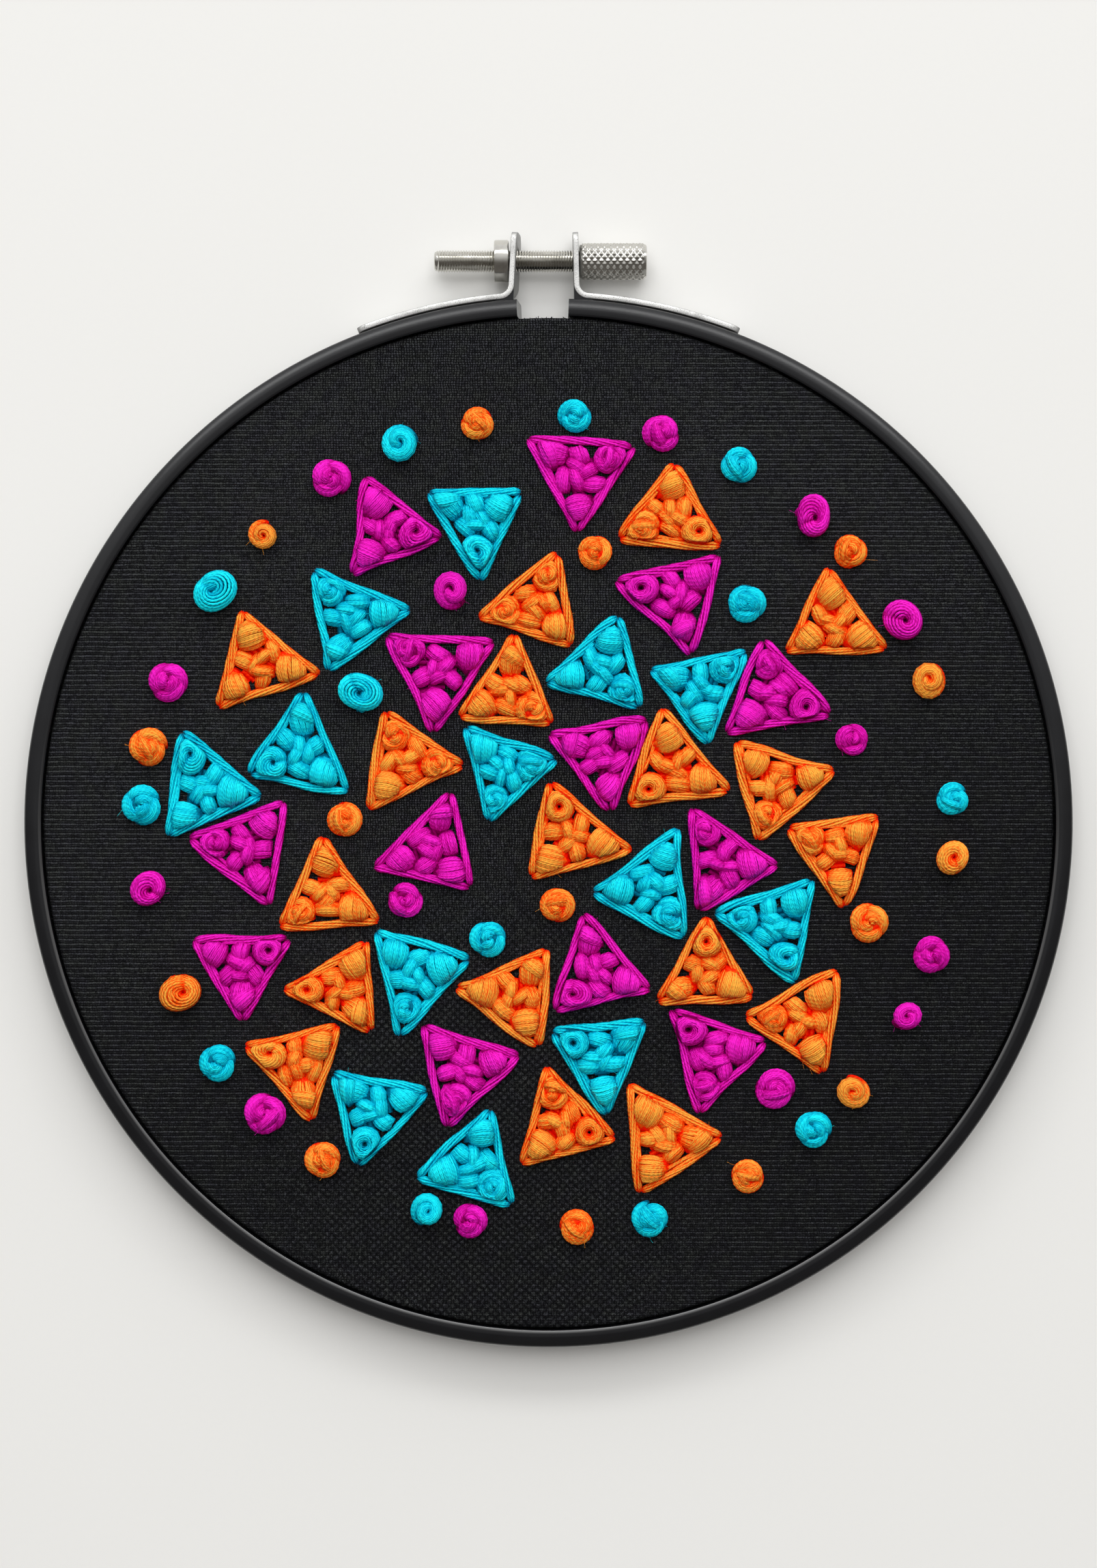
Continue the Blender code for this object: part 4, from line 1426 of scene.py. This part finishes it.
def ball(dice, centre, radius, height):
    """A knot like a small turban: wraps round its foot, and others over and into its middle."""
    spin, first = dice.side(), dice.bearing()
    outer = dice.choice((2, 3, 3))
    strands = []
    for k in range(outer):
        start = first + math.tau * k / outer + dice.around(0.2)
        strands += wrap(dice, centre, radius, start,
                        spin * math.tau / outer * dice.uniform(1.25, 1.45),
                        (dice.uniform(0.68, 0.76), dice.uniform(0.50, 0.62)),
                        (0, dice.uniform(0.12, 0.25) * height),
                        (dice.uniform(0.34, 0.40) * radius, dice.uniform(0.50, 0.62) * height),
                        18 if outer == 2 else 13)
    for k in range(2):
        start = first + math.pi * (k + dice.uniform(0.3, 0.7))
        strands += wrap(dice, centre, radius, start, spin * dice.uniform(2.7, 3.7),
                        (dice.uniform(0.34, 0.44), dice.uniform(0.0, 0.15)),
                        (0.24 * height, 0.42 * height),
                        (dice.uniform(0.34, 0.42) * radius, 0.52 * height), 11)
    if dice.random() < 0.5:
        angle = dice.bearing()
        across = centre + round_point(dice.uniform(0.0, 0.3) * radius, angle + QUARTER)
        strands += satin(dice, across, angle, 0.80 * radius, 0.36 * height,
                         dice.around(0.3) * radius, dice.uniform(0.26, 0.36) * radius,
                         0.58 * height, ends=(0.5, 0.4), spread=1.35, twist=dice.around(0.5))
    return strands + [core_ring(centre, 0.38 * radius, 0.34 * height, 0.36 * radius)]


print("coil steps:", COIL_STEPS)

# %% [markdown]
# A piece of floss is made from strands in three steps. The strands' points become
# a mesh of bare edges with a thickness and a tone at each point. The tree sweeps it.
# The result is put in place as one plain mesh.

# %% Strands into a piece
SIDES = 4
HAIR_RADIUS = 0.000025
HAIR_LENGTH, HAIR_CURL, HAIR_STATIONS = (0.6, 1.5), 0.9, (0, 0.5, 1)       # in mm and shares
MAP_CELL = 0.0005
MAP_REACH = 3
MAP_WINDOW = [(dx, dy) for dx in range(-MAP_REACH, MAP_REACH + 1)
              for dy in range(-MAP_REACH, MAP_REACH + 1) if math.hypot(dx, dy) <= MAP_REACH]


def placed(strands, motif):
    """Strands of a motif, turned and moved to its place on the cloth."""
    turn, shift = motif["turn"], CENTRE + Vector((motif["x"], motif["y"], CLOTH_LEVEL))
    cos, sin = math.cos(turn), math.sin(turn)
    return [([Vector((p.x * cos - p.y * sin, p.x * sin + p.y * cos, p.z)) + shift
              for p in points], radius, tone) for points, radius, tone in strands]


def hair(dice, root, aim, side, length, curl, stations, radius, tone):
    """One loose fibre, which starts at a root along its aim and curls to a side."""
    length, curl = dice.mm(*length), dice.around(curl)
    points = [root + (aim * share + side * curl * share ** 2) * length for share in stations]
    return points, radius, tone


def fuzz(dice, strands, count):
    """Strands, with fine loose hairs that stand away from them."""
    threads = [points[1:-1] for points, _, _ in strands if len(points) > 2]
    hairs = []
    for _ in range(count):
        root = dice.choice(dice.choice(threads))
        outward = math.atan2(root.y, root.x) + dice.around(1.2)
        hairs.append(hair(dice, root, round_point(1, outward, dice.uniform(0.1, 0.6)),
                          round_point(1, dice.bearing()), HAIR_LENGTH, HAIR_CURL,
                          HAIR_STATIONS, HAIR_RADIUS, 1.0))
    return strands + hairs


def around_means(points):
    """The mean height of the topmost threads near each cell of a map of a piece."""
    tops = {}
    for point in points:
        cell = round(point.x / MAP_CELL), round(point.y / MAP_CELL)
        tops[cell] = max(tops.get(cell, CLOTH_LEVEL), point.z)
    means = {}
    for cell in tops:
        near = [tops.get((cell[0] + dx, cell[1] + dy), CLOTH_LEVEL) for dx, dy in MAP_WINDOW]
        means[cell] = sum(near) / len(near)
    return means


def thread_piece(name, strands, material):
    """Sweep strands, with each point's thickness, tone and depth under its surroundings in mm,
    for the finish's painted shade.
    """
    points, edges, radii, tones = [], [], [], []
    for line, radius, tone in strands:
        edges += [(k, k + 1) for k in range(len(points), len(points) + len(line) - 1)]
        points += line
        radii += [radius] * len(line)
        tones += [tone] * len(line)
    means = around_means(points)
    sunk = [0 if point.z < CLOTH_LEVEL - CLOTH_BODY else
            (means[round(point.x / MAP_CELL), round(point.y / MAP_CELL)] - point.z) / MM
            for point in points]
    lines = bpy.data.meshes.new(name + "_lines")
    lines.from_pydata(points, edges, [])
    for label, values in (("thread_radius", radii), ("tone", tones), ("sunk", sunk)):
        lines.attributes.new(label, "FLOAT", "POINT").data.foreach_set("value", values)
    mesh = grown_mesh(FLOSS, {"Sides": SIDES, "Thickness": 1.0, "Material": material}, lines)
    mesh.name = name
    for label in ("thread_radius", "thread_along", "thread_around"):
        mesh.attributes.remove(mesh.attributes[label])
    piece = put(name, mesh)
    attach(piece, "hoop")
    return piece


def floss_piece(name, strands, colour):
    return thread_piece(name, strands, FLOSS_FINISH[colour])


print("threads have", SIDES, "sides")

# %% [markdown]
# ## Padded triangles
#
# Each triangle has three long stitches for its outline and a plump filling. A large
# knot or bundle sits in each corner, and smaller bundles lie this way and that
# between them. Which kind goes where is drawn from a seed of the triangle's own.
# The outline holds the filling in, so a point that would reach over a side is
# pushed back from it. A few loose hairs stand away from the stitches.

# %% Filling of a triangle
UNDERLAY_COUNT = 8
UNDERLAY_REACH = 0.48        # towards the corners, as a share
UNDERLAY_RISE, UNDERLAY_RADIUS = 0.10 * MM, 0.62 * MM
MOST_SLACK = 0.5 * MM


def sides_of(corners):
    """The start, end, direction and inward direction of each side."""
    sides = []
    for k, start in enumerate(corners):
        end = corners[(k + 1) % 3]
        run = (end - start).normalized()
        sides.append((start, end, run, beside(run)))
    return sides


def confined(strands, corners):
    """Hold strands inside a triangle's sides: more room is left low down."""
    sides = sides_of(corners)
    for points, radius, _ in strands:
        slack = min(radius, MOST_SLACK)
        for point in points:
            room = (1.05 - 0.55 * min(1, max(0, point.z / MM - 0.8))) * MM + slack
            for start, _, _, inward in sides:
                short = room - (point - start).dot(inward)
                if short > 0:
                    point += inward * short * 0.9
    return strands


def corner_knot(dice, kind, centre, direction):
    """The large filling of a corner: a coil, ring, ball, two crossed stitches or one."""
    size = dice.uniform(0.95, 1.12)
    if kind == "coil":
        return coil(dice, centre, 2.8 * MM * size, 2.9 * MM * size, dice.choice((3, 4, 5)))
    if kind == "ring":
        return twisted_ring(dice, centre, 2.7 * MM * size, 2.8 * MM * size)
    if kind == "ball":
        return ball(dice, centre, 2.9 * MM * size, 3.0 * MM * size)
    if kind == "crossed":
        angle = direction + dice.around(0.5)
        below = satin(dice, centre, angle, 3.0 * MM * size, 0, dice.mm(-0.3, 0.3),
                      2.2 * MM * size, 2.4 * MM, twist=dice.around(0.4))
        shift = round_point(dice.mm(0.4, 0.9), direction)
        above = satin(dice, centre + shift, angle + dice.side() * dice.uniform(0.8, 1.25),
                      2.9 * MM * size, 0.5 * MM, dice.mm(-0.4, 0.4), 1.6 * MM * size, 2.5 * MM,
                      twist=dice.around(0.5))
        return below + above
    angle = direction + QUARTER + dice.around(0.75)
    return satin(dice, centre, angle, 3.0 * MM * size, 0, dice.mm(-0.5, 0.5), 2.7 * MM * size,
                 3.0 * MM * size, ends=(dice.uniform(0.35, 0.7), dice.uniform(0.35, 0.7)),
                 twist=dice.around(0.5))


def small_satin(dice, centre, angle, half_length, half_width, height, lift=0.0):
    return satin(dice, centre, angle, half_length, lift, dice.mm(-0.35, 0.35), half_width, height,
                 ends=(dice.uniform(0.4, 0.8), dice.uniform(0.4, 0.8)), twist=dice.around(0.5),
                 steps=7)


def underlay(middle, corners):
    """Thick stitches laid side by side under a filling, so that no cloth shows through it."""
    first, second, third = (middle.lerp(corner, UNDERLAY_REACH) for corner in corners)
    strands = []
    for k in range(UNDERLAY_COUNT):
        share = (k + 0.5) / UNDERLAY_COUNT
        ends = first.lerp(second, share), first.lerp(third, share)
        points = [point + UP * UNDERLAY_RISE for point in ends]
        # tone 0.0, the darkest, is painted shade where the underlay shows between the stitches on
        # top
        strands.append((points, UNDERLAY_RADIUS, 0.0))
    return strands


def filling(dice, corners):
    middle = (corners[0] + corners[1] + corners[2]) / 3
    kinds = [dice.choice(("coil", "ring", "ball", "satin", "ball")), "satin",
             dice.choice(("crossed", "satin", "crossed", "ball"))]
    dice.shuffle(kinds)
    strands = underlay(middle, corners)
    for start, end, _, _ in sides_of(corners):
        side = (start + end) / 2
        outward = side - middle
        angle = math.atan2(outward.y, outward.x) + dice.choice((0, 0, 1)) * QUARTER
        strands += small_satin(dice, middle.lerp(side, dice.uniform(0.46, 0.60)),
                               angle + dice.around(0.6), dice.mm(2.2, 2.8), dice.mm(1.3, 1.7),
                               dice.mm(1.8, 2.4))
    first = dice.bearing()
    for k in range(3):
        spot = middle + round_point(dice.mm(0.7, 1.5), first + math.tau * k / 3)
        strands += small_satin(dice, spot, dice.uniform(0, math.pi), dice.mm(2.0, 2.6),
                               dice.mm(1.0, 1.4), dice.mm(1.9, 2.3), 0.3 * MM)
    for kind, corner in zip(kinds, corners):
        direction = math.atan2(corner.y - middle.y, corner.x - middle.x)
        centre = middle.lerp(corner, dice.uniform(0.50, 0.55))
        strands += corner_knot(dice, kind, centre, direction)
    return confined(strands, corners)


def outline(dice, corners):
    """Three long stitches, and now and then a slimmer one beside them."""
    strands = []
    for start, end, run, inward in sides_of(corners):
        start = start + run * dice.uniform(0.5, 1.1) * MM + inward * 0.25 * MM
        end = end - run * dice.uniform(0.5, 1.1) * MM + inward * 0.25 * MM
        belly, wave_size = dice.mm(-0.40, 0.30), dice.mm(-0.26, 0.26)

        def bend(share):
            return belly * math.sin(math.pi * share) + wave_size * math.sin(math.tau * share)
        strands += rope(dice, start, end, bend, dice.mm(1.45, 1.70), 6,
                        dice.side() * dice.uniform(0.5, 1.0))
        if dice.random() < 0.4:
            near, far = sorted((dice.uniform(0.0, 0.35), dice.uniform(0.6, 1.0)))
            slim = inward * 0.75 * MM
            strands += rope(dice, start.lerp(end, near) + slim, start.lerp(end, far) + slim * 0.8,
                            lambda share: 0.0, 0.85 * MM, 3, dice.uniform(0.4, 0.8), 0.2 * MM)
    return strands


TRIANGLE_SEED, TRIANGLE_HAIRS = 1000, 7


def stitched_triangle(number, motif):
    dice = Dice(TRIANGLE_SEED + number)
    corners = [round_point(reach, bearing) for bearing, reach in motif["corners"]]
    strands = fuzz(dice, filling(dice, corners) + outline(dice, corners), TRIANGLE_HAIRS)
    piece = floss_piece(f"padded_triangle_{number:02d}", placed(strands, motif), motif["colour"])
    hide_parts(f"triangle_{number:02d}")
    return piece


faces = [len(stitched_triangle(number, motif).data.polygons)
         for number, motif in enumerate(triangles, start=1)]
print("triangles:", sum(faces), "faces, from", min(faces), "to", max(faces))

# %% [markdown]
# ## Round knots
#
# Most knots between the triangles are small turbans of thick wraps. A few are wound
# in one long wrap or bent to a ring, and some of the rings have one more wrap pulled
# across them. All knots of one colour make one piece.

# %% Knots
KNOT_SEED, KNOT_HAIRS = 2000, 4
KNOT_KINDS = ("ball", "ball", "ball", "ball", "ball", "ring", "rosette", "ring_wrapped")


def stitched_knot(number, motif):
    dice = Dice(KNOT_SEED + number)
    radius = motif["size"] - THREAD_RADIUS
    height = KNOT_RISE * motif["size"] / KNOT_RADIUS - THREAD_RADIUS
    kind, _, wrapping = dice.choice(KNOT_KINDS).partition("_")
    shape = {"ring": twisted_ring, "ball": ball, "rosette": rosette}[kind]
    strands = shape(dice, Vector(), radius, height)
    if wrapping:
        angle = dice.uniform(0, math.pi)
        shift = round_point(0.35 * radius, angle + QUARTER)
        strands += satin(dice, shift, angle, 0.85 * radius, 0.40 * height, 0.1 * radius,
                         0.42 * radius, 0.55 * height, twist=dice.around(0.4))
    return placed(fuzz(dice, strands, KNOT_HAIRS), motif)


def by_colour(stitch, motifs, first=0):
    """What a stitch makes of all motifs, as one list of strands for each colour."""
    strands = {colour: [] for colour in COLOURS}
    for number, motif in enumerate(motifs, start=first):
        strands[motif["colour"]] += stitch(number, motif)
    return strands.items()


for colour, strands in by_colour(stitched_knot, knots, first=1):
    piece = floss_piece(colour + "_knots", strands, colour)
    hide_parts("ground_cloth")
    tell(piece)

# %% [markdown]
# ## The reverse, and the cut edge
#
# From behind, the floss shows as short straight stitches where it goes through the
# cloth: one under each side of a triangle, some under its filling, and two under a
# knot. In the ring's gap the cloth's edge is bare, and a few black threads have
# frayed there.

# %% Stitches on the reverse
REVERSE_SEED = 3000
REVERSE = -CLOTH_BODY - 0.0002                      # a stitch's height under the cloth's face
STITCH_APART, STITCH_RISE = 0.16, 0.0003            # of its threads, in mm, and of their ends
STITCH_STATIONS = (-1, -0.5, 0.5, 1)


def short_stitch(dice, middle, angle, half_length):
    """A slack stitch under the cloth, of two threads side by side."""
    run = round_point(1, angle)
    strands = []
    for side in (-1, 1):
        sag = dice.mm(0.15, 0.30)
        points = [middle + run * half_length * along + beside(run) * side * STITCH_APART * MM
                  + UP * (REVERSE - sag * (1 - along ** 2) + STITCH_RISE * along ** 4)
                  for along in STITCH_STATIONS]
        strands.append((points, THREAD_RADIUS, dice.uniform(0.2, 1)))
    return strands


def reverse_of(number, motif):
    dice = Dice(REVERSE_SEED + number)
    corners = [round_point(reach, bearing) for bearing, reach in motif["corners"]]
    strands = []
    for start, end, _, _ in sides_of(corners):
        run = end - start
        strands += short_stitch(dice, start.lerp(end, dice.uniform(0.4, 0.6)),
                                math.atan2(run.y, run.x), run.length * dice.uniform(0.40, 0.46))
    for _ in range(3 if corners else 2):
        spot = round_point(dice.uniform(0, 0.28) * motif["size"], dice.bearing())
        strands += short_stitch(dice, spot, dice.uniform(0, math.pi), dice.mm(1.2, 2.6))
    return placed(strands, motif)


for colour, strands in by_colour(reverse_of, triangles + knots):
    tell(floss_piece(colour + "_reverse", strands, colour))

# %% Frayed threads
FRAY_SEED, FRAY_COUNT = 4000, 22
FRAY_RADIUS = 0.00006
FRAY_LENGTH, FRAY_CURL, FRAY_STATIONS = (0.25, 0.70), 0.6, (0, 0.35, 0.7, 1)
FRAY_INSET, FRAY_DEPTH = 0.4 * MM, 0.3 * MM         # of the root, from the cloth's edge


def frayed_edge():
    dice = Dice(FRAY_SEED)
    strands = []
    for k in range(FRAY_COUNT):
        x = -GAP_LEFT + (GAP_LEFT + GAP_RIGHT) * (k + dice.uniform(0.1, 0.9)) / FRAY_COUNT
        edge = math.sqrt(CLOTH_RADIUS ** 2 - x ** 2)
        root = CENTRE + Vector((x, edge - FRAY_INSET, CLOTH_LEVEL - FRAY_DEPTH))
        aim = Vector((dice.around(1), dice.uniform(0.6, 1.2), dice.uniform(-0.4, 0.1)))
        strands.append(hair(dice, root, aim.normalized(), Vector((1, 0, 0)), FRAY_LENGTH,
                            FRAY_CURL, FRAY_STATIONS, FRAY_RADIUS, 0.5))
    return thread_piece("frayed_threads", strands, cloth.data.materials[0])


tell(frayed_edge())
